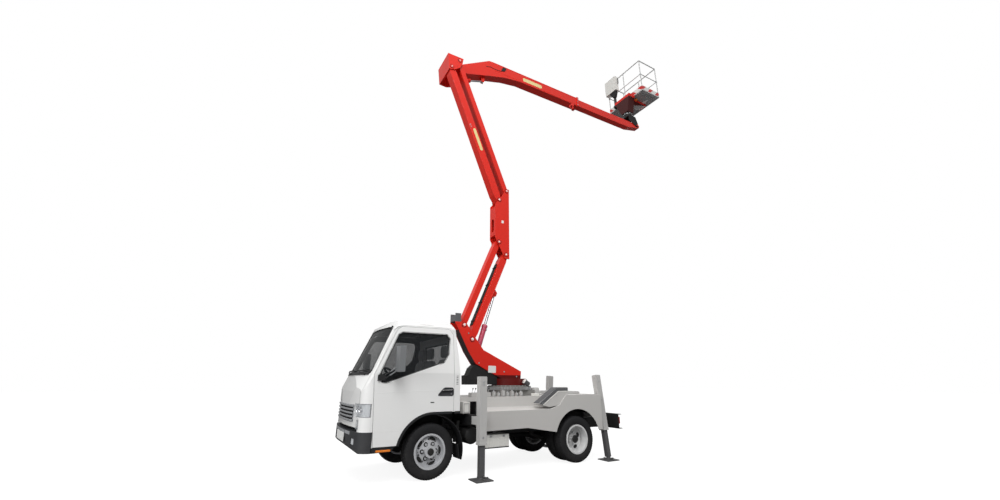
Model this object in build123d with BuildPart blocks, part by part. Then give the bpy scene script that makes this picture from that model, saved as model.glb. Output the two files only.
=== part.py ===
from build123d import *
import os
from math import cos, radians, sin, sqrt

# Light cab-over truck with an articulated boom and a working basket. Millimetres.
# +X is forwards, +Y is the left side, +Z is up. The origin is on the ground midway between the axles.

os.makedirs("parts", exist_ok=True)

# Clearances
seat_gap = 0.3
side_gap = 5.0
run_gap = 0.05
overrun = 20.0

# Wheels and axles
axle_x = 1250.0
tyre_r = 350.0
tyre_w = 195.0
tyre_crown = 14.0
tyre_shoulder = 30.0
bead_r = 205.0
bead_w = 140.0
rim_flange_r = 220.0
rim_w = 184.0
rim_wall = 9.0
rim_lip = 8.0
front_track_half = 695.0
rear_outer_half = 735.0
twin_spacing = 235.0
dish_depth = 26.0
disc_wall = 12.0
disc_r = 120.0
hub_r = 74.0
hub_cap_r = 42.0
hub_length = 165.0
hub_overhang = 70.0
vent_r = 17.0
vent_count = 10
vent_pitch_r = 150.0
nut_r = 14.0
nut_height = 22.0
nut_count = 6
nut_pitch_r = 98.0
spindle_r = 28.0
spindle_length = 190.0
drum_r = 145.0
drum_w = 70.0

# Steering knuckles and front axle
kingpin_y = 545.0
kingpin_r = 15.0
kingpin_lug_r = 32.0
kingpin_half = 62.0
axle_eye_half = 28.0
lug_gap = 3.0
knuckle_plate = 14.0
knuckle_plate_y = 586.0
knuckle_half_x = 36.0
axle_beam_half_x = 34.0
axle_beam_depth = 58.0
axle_drop = 60.0
axle_drop_y = 332.0
axle_rise_y = 430.0
spring_y = 342.0
spring_w = 60.0
spring_t = 38.0
spring_pad_z = 345.0
front_spring_half = 500.0
rear_spring_half = 600.0
spring_rise = 55.0
spring_flat_half = 70.0
hanger_half = 28.0
axle_tube_r = 55.0
axle_tube_y = 395.0
rear_spindle_y = 690.0
diff_r = 150.0
diff_half = 120.0

# Chassis frame
rail_y = 375.0
rail_flange = 65.0
rail_wall = 8.0
rail_low = 455.0
rail_top = 625.0
frame_front_x = 1790.0
frame_rear_x = -2250.0
member_places = (1700.0, -60.0, -800.0, -1650.0, -2150.0)
member_x = 60.0
member_low = 500.0
member_high = 590.0
cab_mount_x = (1640.0, 900.0)
cab_mount_half = 30.0

# Engine, gearbox and shaft
engine_box = ((720.0, 1430.0), 270.0, (425.0, 780.0))
gearbox_box = ((330.0, 720.0), 130.0, (400.0, 600.0))
shaft_r = 38.0
shaft_z = 430.0

# Cab
cab_rear_x = 850.0
cab_front_x = 2265.0
cab_low_z = 454.0
cab_top_z = 2105.0
cab_half = 848.0
cab_wall = 52.0
cab_floor_z = 680.0
cab_floor_t = 50.0
cab_tunnel_half = 715.0
cab_nose_half = 690.0
cab_nose_sweep = 55.0
cab_corner_x = 2065.0
screen_half = 740.0
screen_sweep = 98.0
screen_corner = 42.0
cab_belt_z = 1350.0
cab_cant_half = 757.0
cab_cant_z = 1975.0
cab_gutter_half = 690.0
cab_gutter_z = 2062.0
arch_r = 490.0
# Cab side outline, as shares of its length forwards and of its height
cab_side_shares = ((0.0, 0.0), (0.012, 0.572), (0.053, 0.93), (0.085, 0.975))
cab_roof_shares = ((0.085, 0.975), (0.36, 1.0), (0.69, 0.975))
cab_face_shares = ((0.742, 0.945), (0.956, 0.54), (0.984, 0.40), (1.0, 0.26), (1.0, 0.0))
# Door outline in the same shares, from the lower front corner and up
door_shares = (
    (0.837, 0.0), (0.876, 0.53), (0.672, 0.90), (0.625, 0.925), (0.12, 0.925), (0.075, 0.88), (0.072, 0.0),
)
# Door window, from the lower front corner and up
door_window_shares = (
    (0.80, 0.47), (0.826, 0.53), (0.66, 0.855), (0.62, 0.875), (0.15, 0.875), (0.118, 0.84),
    (0.135, 0.70), (0.19, 0.63), (0.76, 0.465),
)
windscreen_low_z = 1356.0
windscreen_top_z = 1985.0
windscreen_low_half = 722.0
windscreen_top_half = 652.0
rear_window_half = 520.0
rear_window_low_z = 1420.0
rear_window_top_z = 1800.0
glass_inset = 14.0
glass_t = 6.0
# Seams where the shell's panels meet
waist_seam_z = 1318.0
roof_seam_z = 1998.0
rear_seam_x = 1000.0
front_seam_x = 1950.0
door_hinge_x = 2060.0
door_hinge_y = 846.5
door_swing_room = 13.0

# Front panel fittings
lamp_depth = 40.0
lamp_rear_x = 2082.0
headlamp_y = (545.0, 900.0)
headlamp_z = (806.0, 968.0)
corner_lamp_y = (640.0, 745.0)
corner_lamp_z = (662.0, 775.0)
grille_half = 530.0
grille_z = (735.0, 950.0)
grille_slats = 4
bumper_z = (392.0, 634.0)
bumper_proud = 18.0
bumper_wall = 40.0
bumper_rear_x = 2053.0
# The bumper's face from the side, as distances behind its front and heights
bumper_face = ((0.0, 634.0), (0.0, 610.0), (32.0, 455.0), (94.0, 392.0))
fog_y = (560.0, 680.0)
fog_z = (470.0, 560.0)

# Cab interior
# Each seat's middle and half width
seat_places = ((535.0, 205.0), (-90.0, 200.0), (-515.0, 215.0))
seat_x = (1010.0, 1500.0)
seat_z = (905.0, 1050.0)
seat_back_x = (960.0, 1090.0)
seat_back_top = 1560.0
headrest_top = 1760.0
headrest_half = 125.0
seat_lean = 60.0
dash_x = (1810.0, 2020.0)
dash_nose_x = 2085.0
dash_nose_half = 450.0
dash_z = (1000.0, 1290.0)
dash_half = 780.0
steering_r = 205.0
steering_tube_r = 15.0
steering_centre = (1690.0, 440.0, 1290.0)
steering_tilt = 40.0
column_out = 30.0

# Mirrors
mirror_pad_x = (1935.0, 2040.0)
mirror_pad_z = (1250.0, 1400.0)
mirror_x = 1800.0
mirror_y = (925.0, 1105.0)
mirror_half_x = 40.0
mirror_z = (1361.0, 1690.0)
mirror_tube_r = 9.0

# Mudguards
mudguard_r = 452.0
mudguard_t = 8.0
mudguard_y = (612.0, 836.0)
mudguard_from = 98.0
mudguard_to = 196.0
mudguard_stay_r = 12.0

# Body with side aprons
deck_front_x = 800.0
deck_z = 1010.0
deck_t = 12.0
deck_half = 600.0
apron_half = 870.0
apron_t = 14.0
apron_front_x = 469.0
apron_rear_x = -1779.0
apron_top_z = 1029.0
apron_low_z = 474.0
ledge_z = 822.0
ledge_inner_z = 866.0
body_arch_r = 462.0
# Apron outline as shares of its length (rear to front) and of its height
apron_shares = (
    (0.0, 0.01), (0.0, 1.0), (0.335, 1.0), (0.395, 0.73), (0.475, 0.632), (1.0, 0.623), (1.0, 0.158),
    (0.672, 0.175), (0.40, 0.0),
)
cut_pedestal = 15.0

# Inclined step boxes on the ledges
ramp_y = (700.0, 860.0)
ramp_foot = (-690.0, 853.0)
ramp_nose = (-478.0, 904.0)
ramp_shoulder = (-861.0, 1145.0)
ramp_rear = (-1080.0, 1145.0)

# Side boxes below the body
side_box_x = (20.0, 420.0)
side_box_y = (560.0, 790.0)
side_box_z = (322.0, 500.0)
side_box_round = 22.0
side_box_arm = 40.0
air_box_x = (645.0, 755.0)
air_box_y = (590.0, 730.0)
air_box_z = (800.0, 950.0)

# Subframe, pedestal and slew ring
sub_y = (310.0, 370.0)
sub_x = (-1800.0, 560.0)
sub_top = 745.0
bearer_places = (480.0, -860.0, -1700.0)
bearer_t = 16.0
slew_x = -450.0
pedestal_half_x = 330.0
pedestal_half_y = 330.0
pedestal_top = 1100.0
ring_r = 390.0
ring_top = 1178.0
ring_bolt_count = 24
ring_bolt_r = 12.0
ring_bolt_h = 14.0
turret_ring_r = 300.0
turret_ring_top = 1286.0

# Front outriggers
rig_x = 640.0
rig_housing = (110.0, 130.0)
rig_housing_z = 720.0
rig_housing_half = 868.0
rig_wall = 8.0
rig_slip = 6.0
rig_beam_inner = 300.0
rig_leg_y = 1100.0
leg_outer = (105.0, 105.0)
leg_wall = 8.0
leg_slip = 7.0
leg_low_z = 425.0
guide_height = 45.0
leg_top_z = 1300.0
leg_inner_top = 840.0
leg_inner_low = 52.0
foot_t = 14.0
foot_half = (125.0, 125.0)
foot_ball_r = 34.0

# Rear outriggers
rear_rig_x = -1866.0
rear_rig_foot_y = 855.0
rear_rig_splay = 7.0
rear_leg_low = 455.0
rear_leg_top = 1352.0
rear_beam_z = (640.0, 790.0)
rear_beam_half_x = 62.0

# Rear cross beam and lamps
underrun_x = (-2335.0, -2250.0)
underrun_z = (450.0, 690.0)
underrun_half = 770.0
underrun_wall = 10.0
tail_lamp_y = (560.0, 740.0)
tail_lamp_z = (530.0, 640.0)
tail_lamp_t = 55.0

# Boom pivots in side view (X, Z)
lower_boom_foot = (325.0, 1925.0)
lower_link_foot = (483.0, 2160.0)
lower_length = 1750.0
lower_angle = 112.8
upper_link_foot = (-371.0, 4880.0)
upper_boom_foot = (-203.0, 4655.0)
upper_length = 2970.0
upper_angle = 67.8
luff_pivot = (820.0, 7578.0)

# Boom sections
plate_y = 110.0
plate_t = 15.0
arm_pin_r = 26.0
pin_head_r = 38.0
pin_head_t = 9.0
lower_boom_depth = 132.0
lower_boom_half = 82.0
lower_link_depth = 105.0
lower_link_half = 72.0
upper_boom_depth = 150.0
upper_boom_half = 88.0
upper_link_depth = 100.0
upper_link_half = 76.0
arm_eye_r = 46.0
arm_taper = 130.0

# Turret
turret_x = (-645.0, 655.0)
turret_z = (1277.0, 2202.0)
# Side plate outline as shares of the turret's length and height, from the front top and round by the rear
turret_shares = (
    (1.0, 0.995), (0.845, 1.0), (0.705, 0.735), (0.58, 0.515), (0.0, 0.142), (0.009, 0.0), (0.288, 0.0),
    (0.69, 0.265), (0.80, 0.485), (0.943, 0.86),
)
# The dark base under the plates, in the same shares
base_shares = (
    (0.235, -0.095), (0.815, -0.095), (0.82, 0.062), (0.78, 0.072), (0.745, 0.19), (0.69, 0.255), (0.288, -0.012),
)
base_half = 92.0
saddle_x = (548.0, 650.0)
saddle_seat_z = 2302.0
saddle_horn_z = 2348.0
saddle_half = 112.0
saddle_inner_half = 96.0
lift_foot = (225.0, 1584.0)
lift_lug_along = 962.0
lift_lug_off = 111.0
lift_barrel_r = 46.0
lift_barrel_length = 640.0
lift_rod_from = 570.0
lift_ear_share = 0.9
lift_rod_r = 22.0
lift_eye_r = 34.0
lift_eye_half = 22.0
eye_neck_share = 0.82
lug_plate = 16.0
rod_slip = 0.3

# Middle head
head_x = (-422.0, -113.0)
head_z = (3460.0, 4925.0)
# Side plate outline as shares, from the lower front and round
head_shares = (
    (1.0, 0.27), (1.0, 0.745), (0.62, 0.845), (0.30, 0.965), (0.12, 1.0), (0.0, 1.0), (0.0, 0.0), (0.30, 0.0),
)
head_front_z = (3905.0, 4500.0)
head_rear_z = (3640.0, 4790.0)
head_slot_z = (3985.0, 4255.0)
head_slot_w = 90.0

# Top knuckle
knuckle_x = (669.0, 1003.0)
knuckle_z = (7332.0, 7706.0)
knuckle_shares = ((1.0, 1.0), (0.0, 1.0), (0.055, 0.645), (0.18, 0.35), (0.54, 0.07), (0.877, 0.0))
# The plates beside the telescopic boom reach round the luffing cylinder's foot
lobe_shares = ((1.0, 1.0), (0.0, 1.0), (0.055, 0.645), (0.13, 0.10), (0.45, -0.02), (0.877, 0.0))
knuckle_far_y = -430.0
knuckle_inner_y = -110.0

# Telescopic boom
boom_y = (-350.0, -150.0)
boom_top = 8232.0
boom_low = 7994.0
boom_wall = 12.0
boom_elbow_x = -180.0
collar_x = -2700.0
collar_w = 60.0
collar_proud = 14.0
inner_slip = 8.0
inner_tail_x = -2260.0
inner_end_x = -4500.0
nose_x = -4950.0
nose_pin = (-4870.0, 8170.0)
root_r = 95.0
# Gooseneck outline as shares of the run from the elbow to the luff pivot and of the boom's rise
neck_top_shares = ((0.0, 1.0), (0.10, 0.985), (0.74, 0.385))
neck_low_shares = ((-0.70, 0.633), (-0.30, 0.53), (0.06, 0.365), (0.66, 0.06))
luff_foot = (755.0, 7412.0)
luff_lug = (40.0, 7665.0)
luff_barrel_r = 36.0
luff_barrel_length = 440.0
luff_rod_r = 18.0
luff_eye_r = 28.0
luff_eye_half = 18.0
luff_rod_from = 79.0
# Channel under the gooseneck that the luffing cylinder folds into
luff_channel = ((470.0, 7620.0), (970.0, 7516.0), (970.0, 7380.0), (470.0, 7380.0))
luff_channel_gap = 6.0

# Basket
basket_x = (-5528.0, -4825.0)
basket_y = (-1053.0, 213.0)
basket_floor_z = 9159.0
basket_top_z = 10181.0
basket_tube_r = 15.0
basket_post_r = 13.0
mid_rail_r = 11.0
basket_corner_r = 15.2
basket_floor_t = 30.0
kick_height = 130.0
kick_t = 5.0
mid_rail_share = 0.52
rotator_x = -4700.0
rotator_y = -300.0
rotator_r = 115.0
rotator_z = (8440.0, 8590.7)
bracket_half = 130.0
support_z = (8591.0, 9128.7)
control_y = (-1040.0, -620.0)
control_z = (9700.0, 10190.0)
control_t = 130.0
control_post_y = -745.0


def share_points(shares, x_span, z_span):
    """Points of an outline whose shares run over a named length and height."""
    return [(x_span[0] + u * (x_span[1] - x_span[0]), z_span[0] + v * (z_span[1] - z_span[0])) for u, v in shares]


def side_plane(y):
    """Side view drawn as X and Z. Its extrusions run towards -Y."""
    return Plane(origin=(0, y, 0), x_dir=(1, 0, 0), z_dir=(0, -1, 0))


def outline(plane, points):
    """A closed straight-sided face on a plane."""
    with BuildSketch(plane) as shape:
        with BuildLine():
            Polyline(*points, close=True)
        make_face()
    return shape.sketch


def slab_y(points, y_from, y_to, mode=Mode.ADD):
    """Side outline (X, Z) made solid between two widths."""
    low, high = sorted((y_from, y_to))
    extrude(outline(side_plane(high), points), amount=high - low, mode=mode)


def slab_x(points, x_from, x_to, mode=Mode.ADD):
    """Front outline (Y, Z) made solid between two lengths."""
    low, high = sorted((x_from, x_to))
    extrude(outline(Plane.YZ.offset(low), points), amount=high - low, mode=mode)


def slab_z(points, z_from, z_to, mode=Mode.ADD):
    """Plan outline (X, Y) made solid between two heights."""
    low, high = sorted((z_from, z_to))
    extrude(outline(Plane.XY.offset(low), points), amount=high - low, mode=mode)


def block(x_span, y_span, z_span, mode=Mode.ADD):
    """A straight block between named limits."""
    x, y, z = (sorted(span) for span in (x_span, y_span, z_span))
    with Locations(((x[0] + x[1]) / 2, (y[0] + y[1]) / 2, (z[0] + z[1]) / 2)):
        Box(x[1] - x[0], y[1] - y[0], z[1] - z[0], mode=mode)


def round_y(centre, radius, y_from, y_to, mode=Mode.ADD):
    """A round bar or hole across the truck at a side-view place."""
    low, high = sorted((y_from, y_to))
    with BuildSketch(side_plane(high)) as disc:
        with Locations(centre):
            Circle(radius)
    extrude(disc.sketch, amount=high - low, mode=mode)


def round_z(centre, radius, z_from, z_to, mode=Mode.ADD):
    """An upright round bar or hole at a plan place."""
    low, high = sorted((z_from, z_to))
    with BuildSketch(Plane.XY.offset(low)) as disc:
        with Locations(centre):
            Circle(radius)
    extrude(disc.sketch, amount=high - low, mode=mode)


def tube_between(start, end, radius, mode=Mode.ADD):
    """A straight round bar between two points."""
    run = Vector(*end) - Vector(*start)
    with BuildSketch(Plane(origin=start, z_dir=run)) as disc:
        Circle(radius)
    extrude(disc.sketch, amount=run.length, mode=mode)


def along(start, angle, distance, off=0.0):
    """A side-view place at a distance along a direction, and off to its left."""
    a = radians(angle)
    return (start[0] + distance * cos(a) - off * sin(a), start[1] + distance * sin(a) + off * cos(a))


def arm(foot, angle, length, depth, half, eye_r, pin_r):
    """A box-section arm with tapered ends and an eye at each pivot."""
    d, e = depth / 2, eye_r
    ends = ((0, e), (arm_taper, d), (length - arm_taper, d), (length, e),
            (length, -e), (length - arm_taper, -d), (arm_taper, -d), (0, -e))
    slab_y([along(foot, angle, s, off) for s, off in ends], -half, half)
    tip = along(foot, angle, length)
    for centre in (foot, tip):
        round_y(centre, eye_r, -half, half)
    for centre in (foot, tip):
        round_y(centre, pin_r + run_gap, -half - overrun, half + overrun, mode=Mode.SUBTRACT)


def pin(centre, low_y, high_y):
    """A pivot pin with a head outside each plate."""
    round_y(centre, arm_pin_r, low_y - pin_head_t, high_y + pin_head_t)
    for y, side in ((low_y, -1), (high_y, 1)):
        round_y(centre, pin_head_r, y, y + side * pin_head_t)


def save(builder, name):
    """Label one finished piece and write it to its own file."""
    builder.part.label = name
    export_step(builder.part, f"parts/{name}.step")


sides = (("left", 1), ("right", -1))
lower_boom_top = along(lower_boom_foot, lower_angle, lower_length)
lower_link_top = along(lower_link_foot, lower_angle, lower_length)
upper_boom_top = along(upper_boom_foot, upper_angle, upper_length)
upper_link_top = along(upper_link_foot, upper_angle, upper_length)


# Wheels: the disc of a front wheel stands near its outer edge, a rear pair meets disc to disc

def wheel_axis(x):
    return Axis((x, 0, tyre_r), (0, 1, 0))


def wheel_plane(x, y):
    """Plane through the wheel's centre whose first direction is the radius and second the width."""
    return Plane(origin=(x, y, tyre_r), x_dir=(0, 0, 1), z_dir=(-1, 0, 0))


def add_tyre(x, y):
    half = tyre_w / 2
    shoulder_r = tyre_r - tyre_crown
    shoulder_y = half - tyre_shoulder / 2
    wall_r = (bead_r + shoulder_r) / 2
    with BuildSketch(wheel_plane(x, y)) as shape:
        with BuildLine():
            Line((bead_r, -bead_w / 2), (bead_r, bead_w / 2))
            ThreePointArc((bead_r, bead_w / 2), (wall_r, half), (shoulder_r, shoulder_y))
            ThreePointArc((shoulder_r, shoulder_y), (tyre_r, 0), (shoulder_r, -shoulder_y))
            ThreePointArc((shoulder_r, -shoulder_y), (wall_r, -half), (bead_r, -bead_w / 2))
        make_face()
    revolve(shape.sketch, axis=wheel_axis(x))


def add_rim(x, y, disc_off, side):
    """Rim barrel with its two flanges and a dished disc. disc_off places the disc from the rim's centre."""
    half = rim_w / 2
    outer = bead_r - seat_gap
    inner = outer - rim_wall
    with BuildSketch(wheel_plane(x, y)) as shape:
        with BuildLine():
            Polyline(
                (inner, -half), (rim_flange_r, -half), (rim_flange_r, rim_lip - half), (outer, rim_lip - half),
                (outer, half - rim_lip), (rim_flange_r, half - rim_lip), (rim_flange_r, half), (inner, half), close=True,
            )
        make_face()
        edge = disc_off - side * dish_depth
        with BuildLine():
            Polyline(
                (hub_cap_r, disc_off), (disc_r, disc_off), (inner, edge), (inner, edge - side * disc_wall),
                (disc_r, disc_off - side * disc_wall), (hub_cap_r, disc_off - side * disc_wall), close=True,
            )
        make_face()
    revolve(shape.sketch, axis=wheel_axis(x))


def hub_and_nuts(x, face_y, side):
    """Hub through the disc, its nuts and the vents round it."""
    round_y((x, tyre_r), hub_r, face_y - side * (hub_length - hub_overhang), face_y + side * hub_overhang)
    for i in range(nut_count):
        place = along((x, tyre_r), 360 * i / nut_count, nut_pitch_r)
        round_y(place, nut_r, face_y, face_y + side * nut_height)
    for i in range(vent_count):
        place = along((x, tyre_r), 360 * (i + 0.5) / vent_count, vent_pitch_r)
        round_y(place, vent_r, face_y - side * (dish_depth + disc_wall + overrun), face_y + side * overrun,
                mode=Mode.SUBTRACT)


front_disc_off = 52.0
for name, side in sides:
    with BuildPart() as tyre_front:
        add_tyre(axle_x, side * front_track_half)
    save(tyre_front, f"tyre_front_{name}")

    face = side * (front_track_half + front_disc_off)
    with BuildPart() as rim_front:
        add_rim(axle_x, side * front_track_half, side * front_disc_off, side)
        hub_and_nuts(axle_x, face, side)
        round_y((axle_x, tyre_r), spindle_r + run_gap, side * (knuckle_plate_y + knuckle_plate), side * front_track_half,
                mode=Mode.SUBTRACT)
    save(rim_front, f"rim_front_{name}")

    with BuildPart() as tyres_rear:
        add_tyre(-axle_x, side * rear_outer_half)
        add_tyre(-axle_x, side * (rear_outer_half - twin_spacing))
    save(tyres_rear, f"tyres_rear_{name}")

    joint_y = side * (rear_outer_half - twin_spacing / 2)
    with BuildPart() as rims_rear:
        add_rim(-axle_x, side * rear_outer_half, -side * (twin_spacing / 2 - disc_wall), -side)
        add_rim(-axle_x, side * (rear_outer_half - twin_spacing), side * twin_spacing / 2, side)
        hub_and_nuts(-axle_x, joint_y + side * disc_wall, side)
        round_y((-axle_x, tyre_r), hub_cap_r, joint_y, joint_y + side * hub_length * 0.9)
        round_y((-axle_x, tyre_r), spindle_r + run_gap, side * (axle_tube_y - overrun), side * rear_spindle_y,
                mode=Mode.SUBTRACT)
    save(rims_rear, f"rims_rear_{name}")

    with BuildPart() as knuckle:
        pin_z = (tyre_r - kingpin_half, tyre_r + kingpin_half)
        round_z((axle_x, side * kingpin_y), kingpin_r, pin_z[0], pin_z[1])
        plate_span = (side * knuckle_plate_y, side * (knuckle_plate_y + knuckle_plate))
        block((axle_x - knuckle_half_x, axle_x + knuckle_half_x), plate_span, pin_z)
        for z_span in ((pin_z[0], tyre_r - axle_eye_half - lug_gap), (tyre_r + axle_eye_half + lug_gap, pin_z[1])):
            round_z((axle_x, side * kingpin_y), kingpin_lug_r, *z_span)
            block((axle_x - kingpin_lug_r, axle_x + kingpin_lug_r), (side * kingpin_y, plate_span[0]), z_span)
        round_y((axle_x, tyre_r), spindle_r, plate_span[1], side * (front_track_half - lug_gap))
    save(knuckle, f"knuckle_{name}")


# Axles and springs

with BuildPart() as front_axle:
    for name, side in sides:
        z = tyre_r
        half = axle_beam_depth / 2
        slab_x([(0, z - axle_drop - half), (side * axle_drop_y, z - axle_drop - half), (side * axle_rise_y, z - half),
                (side * kingpin_y, z - axle_eye_half), (side * kingpin_y, z + axle_eye_half), (side * axle_rise_y, z + half),
                (side * axle_drop_y, z - axle_drop + half), (0, z - axle_drop + half)],
               axle_x - axle_beam_half_x, axle_x + axle_beam_half_x)
        round_z((axle_x, side * kingpin_y), kingpin_lug_r, z - axle_eye_half, z + axle_eye_half)
        block((axle_x - spring_flat_half, axle_x + spring_flat_half), (side * (spring_y - spring_w / 2),
              side * (spring_y + spring_w / 2)), (z - axle_drop, spring_pad_z))
        round_z((axle_x, side * kingpin_y), kingpin_r + run_gap, z - kingpin_half, z + kingpin_half, mode=Mode.SUBTRACT)
save(front_axle, "front_axle")

with BuildPart() as rear_axle:
    round_y((-axle_x, tyre_r), axle_tube_r, -axle_tube_y, axle_tube_y)
    round_y((-axle_x, tyre_r), spindle_r, -rear_spindle_y + lug_gap, rear_spindle_y - lug_gap)
    with Locations((-axle_x, 0, tyre_r)):
        Sphere(diff_r)
    for name, side in sides:
        block((-axle_x - spring_flat_half, -axle_x + spring_flat_half), (side * (spring_y - spring_w / 2),
              side * (spring_y + spring_w / 2)), (tyre_r - axle_tube_r - spring_t / 2, tyre_r))
save(rear_axle, "rear_axle")

rear_spring_z = tyre_r - axle_tube_r - spring_t / 2 - spring_t
with BuildPart() as leaf_springs:
    for name, side in sides:
        y_span = (side * (spring_y - spring_w / 2), side * (spring_y + spring_w / 2))
        for x, reach, base_z in ((axle_x, front_spring_half, spring_pad_z), (-axle_x, rear_spring_half, rear_spring_z)):
            top = rail_low - spring_t / 2
            slab_y([(x - reach, top - spring_t), (x - spring_flat_half, base_z), (x + spring_flat_half, base_z),
                    (x + reach, top - spring_t), (x + reach, top), (x + spring_flat_half, base_z + spring_t),
                    (x - spring_flat_half, base_z + spring_t), (x - reach, top)], *y_span)
save(leaf_springs, "leaf_springs")


# Chassis frame with its rails, cross members, spring hangers and cab mounts

with BuildPart() as chassis_frame:
    for name, side in sides:
        y_out, y_in = side * rail_y, side * (rail_y - rail_flange)
        slab_x([(y_out, rail_low), (y_in, rail_low), (y_in, rail_low + rail_wall), (y_out - side * rail_wall,
                rail_low + rail_wall), (y_out - side * rail_wall, rail_top - rail_wall), (y_in, rail_top - rail_wall),
                (y_in, rail_top), (y_out, rail_top)], frame_rear_x, frame_front_x)
        for x, reach in ((axle_x, front_spring_half), (-axle_x, rear_spring_half)):
            for end in (-1, 1):
                block((x + end * reach - end * hanger_half * 2, x + end * reach), (side * (spring_y - spring_w / 2),
                      side * (spring_y + spring_w / 2)), (rail_low - spring_t / 2, rail_low))
    for x in member_places:
        block((x - member_x / 2, x + member_x / 2), (rail_wall - rail_y, rail_y - rail_wall), (member_low, member_high))
    for x, top in zip(cab_mount_x, (cab_floor_z, tyre_r + arch_r)):
        for name, side in sides:
            block((x - cab_mount_half, x + cab_mount_half), (side * (rail_y - rail_flange), side * rail_y), (rail_top, top))
save(chassis_frame, "chassis_frame")

with BuildPart() as engine_block:
    for x_span, half, z_span in (engine_box, gearbox_box):
        block(x_span, (-half, half), z_span)
    tube_between((gearbox_box[0][0], 0, shaft_z), (-axle_x + diff_r + seat_gap, 0, tyre_r), shaft_r)
save(engine_block, "engine_block")


# Cab: the skin is the common volume of a side, a plan and a front outline

cab_x = (cab_rear_x, cab_front_x)
cab_z = (cab_low_z, cab_top_z)


def front_view(i):
    """The cab's outline from the front, drawn in by i."""
    with BuildSketch(Plane.YZ.offset(cab_rear_x - overrun)) as front_shape:
        with BuildLine():
            Polyline((-cab_gutter_half, cab_gutter_z - i), (i - cab_cant_half, cab_cant_z - i), (i - cab_half, cab_belt_z),
                     (i - cab_half, cab_low_z - overrun), (cab_half - i, cab_low_z - overrun), (cab_half - i, cab_belt_z),
                     (cab_cant_half - i, cab_cant_z - i), (cab_gutter_half, cab_gutter_z - i))
            ThreePointArc((cab_gutter_half, cab_gutter_z - i), (0, cab_top_z - i), (-cab_gutter_half, cab_gutter_z - i))
        make_face()
    return front_shape.sketch


def cab_form(inset):
    """The cab's outer form, drawn in by inset on every face."""
    i = inset
    side_points = share_points(cab_side_shares, cab_x, cab_z)
    roof_points = share_points(cab_roof_shares, cab_x, cab_z)
    face_points = share_points(cab_face_shares, cab_x, cab_z)
    with BuildSketch(side_plane(cab_half + overrun)) as side_shape:
        with BuildLine():
            Polyline(*side_points)
            ThreePointArc(*roof_points)
            Polyline(roof_points[-1], *face_points, side_points[0])
        make_face()
        if i:
            offset(amount=-i, kind=Kind.INTERSECTION)
    with BuildSketch(Plane.XY.offset(cab_low_z - overrun)) as plan_shape:
        with BuildLine():
            Line((cab_rear_x - overrun + i, -cab_half + i), (cab_rear_x - overrun + i, cab_half - i))
            Line((cab_rear_x - overrun + i, cab_half - i), (cab_corner_x, cab_half - i))
            corner = (cab_front_x - cab_nose_sweep - i, cab_nose_half)
            middle = ((cab_corner_x + corner[0]) / 2 + (cab_half - cab_nose_half) * 0.28, (cab_half + cab_nose_half) / 2 + 28.0 - i)
            ThreePointArc((cab_corner_x, cab_half - i), middle, corner)
            ThreePointArc(corner, (cab_front_x - i, 0), (corner[0], -corner[1]))
            ThreePointArc((corner[0], -corner[1]), (middle[0], -middle[1]), (cab_corner_x, i - cab_half))
            Line((cab_corner_x, i - cab_half), (cab_rear_x - overrun + i, i - cab_half))
        make_face()
    # The windscreen's plan sweeps back to the corners, and runs up along the screen's slope
    screen_top, screen_low = face_points[0], face_points[1]
    slope = Vector(screen_top[0] - screen_low[0], 0, screen_top[1] - screen_low[1]).normalized()
    base_z = cab_low_z - overrun
    nose = screen_low[0] - slope.X / slope.Z * (screen_low[1] - base_z) - i / slope.Z
    shoulder = (nose - screen_sweep, screen_half)
    flank = (shoulder[0] - screen_corner, cab_half + overrun)
    turn = (shoulder[0] - screen_corner * 0.3, (screen_half + cab_half) / 2 + overrun)
    with BuildSketch(Plane.XY.offset(base_z)) as screen_shape:
        with BuildLine():
            Line((-cab_rear_x, -cab_half - overrun), (-cab_rear_x, cab_half + overrun))
            Line((-cab_rear_x, cab_half + overrun), flank)
            ThreePointArc(flank, turn, shoulder)
            ThreePointArc(shoulder, (nose, 0), (shoulder[0], -shoulder[1]))
            ThreePointArc((shoulder[0], -shoulder[1]), (turn[0], -turn[1]), (flank[0], -flank[1]))
            Line((flank[0], -flank[1]), (-cab_rear_x, -cab_half - overrun))
        make_face()
    with BuildPart() as form:
        extrude(side_shape.sketch, amount=2 * (cab_half + overrun))
        extrude(plan_shape.sketch, amount=cab_top_z - cab_low_z + 2 * overrun, mode=Mode.INTERSECT)
        extrude(front_view(i), amount=cab_front_x - cab_rear_x + 2 * overrun, mode=Mode.INTERSECT)
        rise = (cab_top_z - cab_low_z + 2 * overrun) / slope.Z
        extrude(screen_shape.sketch, amount=rise, dir=slope, mode=Mode.INTERSECT)
    return form.part


cab_outer = cab_form(0)
cab_inner = cab_form(cab_wall)
glass_outer = cab_form(glass_inset)
glass_inner = cab_form(glass_inset + glass_t)
lamp_back = cab_form(lamp_depth)

door_points = share_points(door_shares, cab_x, cab_z)
door_window_points = share_points(door_window_shares, cab_x, cab_z)
windscreen_points = [(-windscreen_low_half, windscreen_low_z), (windscreen_low_half, windscreen_low_z),
                     (windscreen_top_half, windscreen_top_z), (-windscreen_top_half, windscreen_top_z)]
windscreen_span = (cab_front_x - (cab_front_x - cab_corner_x) * 3, cab_front_x + overrun)


def door_prism(side, shrink, swing=0):
    """The solid that a door's outline sweeps from the sill box outwards, and further inwards by the swing."""
    with BuildPart() as prism:
        with BuildSketch(side_plane(side * (cab_half + overrun))) as shape:
            with BuildLine():
                Polyline(*door_points, close=True)
            make_face()
            if shrink:
                offset(amount=-shrink, kind=Kind.INTERSECTION)
        extrude(shape.sketch, amount=side * (cab_half + overrun - cab_tunnel_half + cab_wall))
        extrude(front_view(cab_wall + side_gap + swing), amount=cab_front_x - cab_rear_x + 2 * overrun, mode=Mode.SUBTRACT)
    return prism.part


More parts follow.
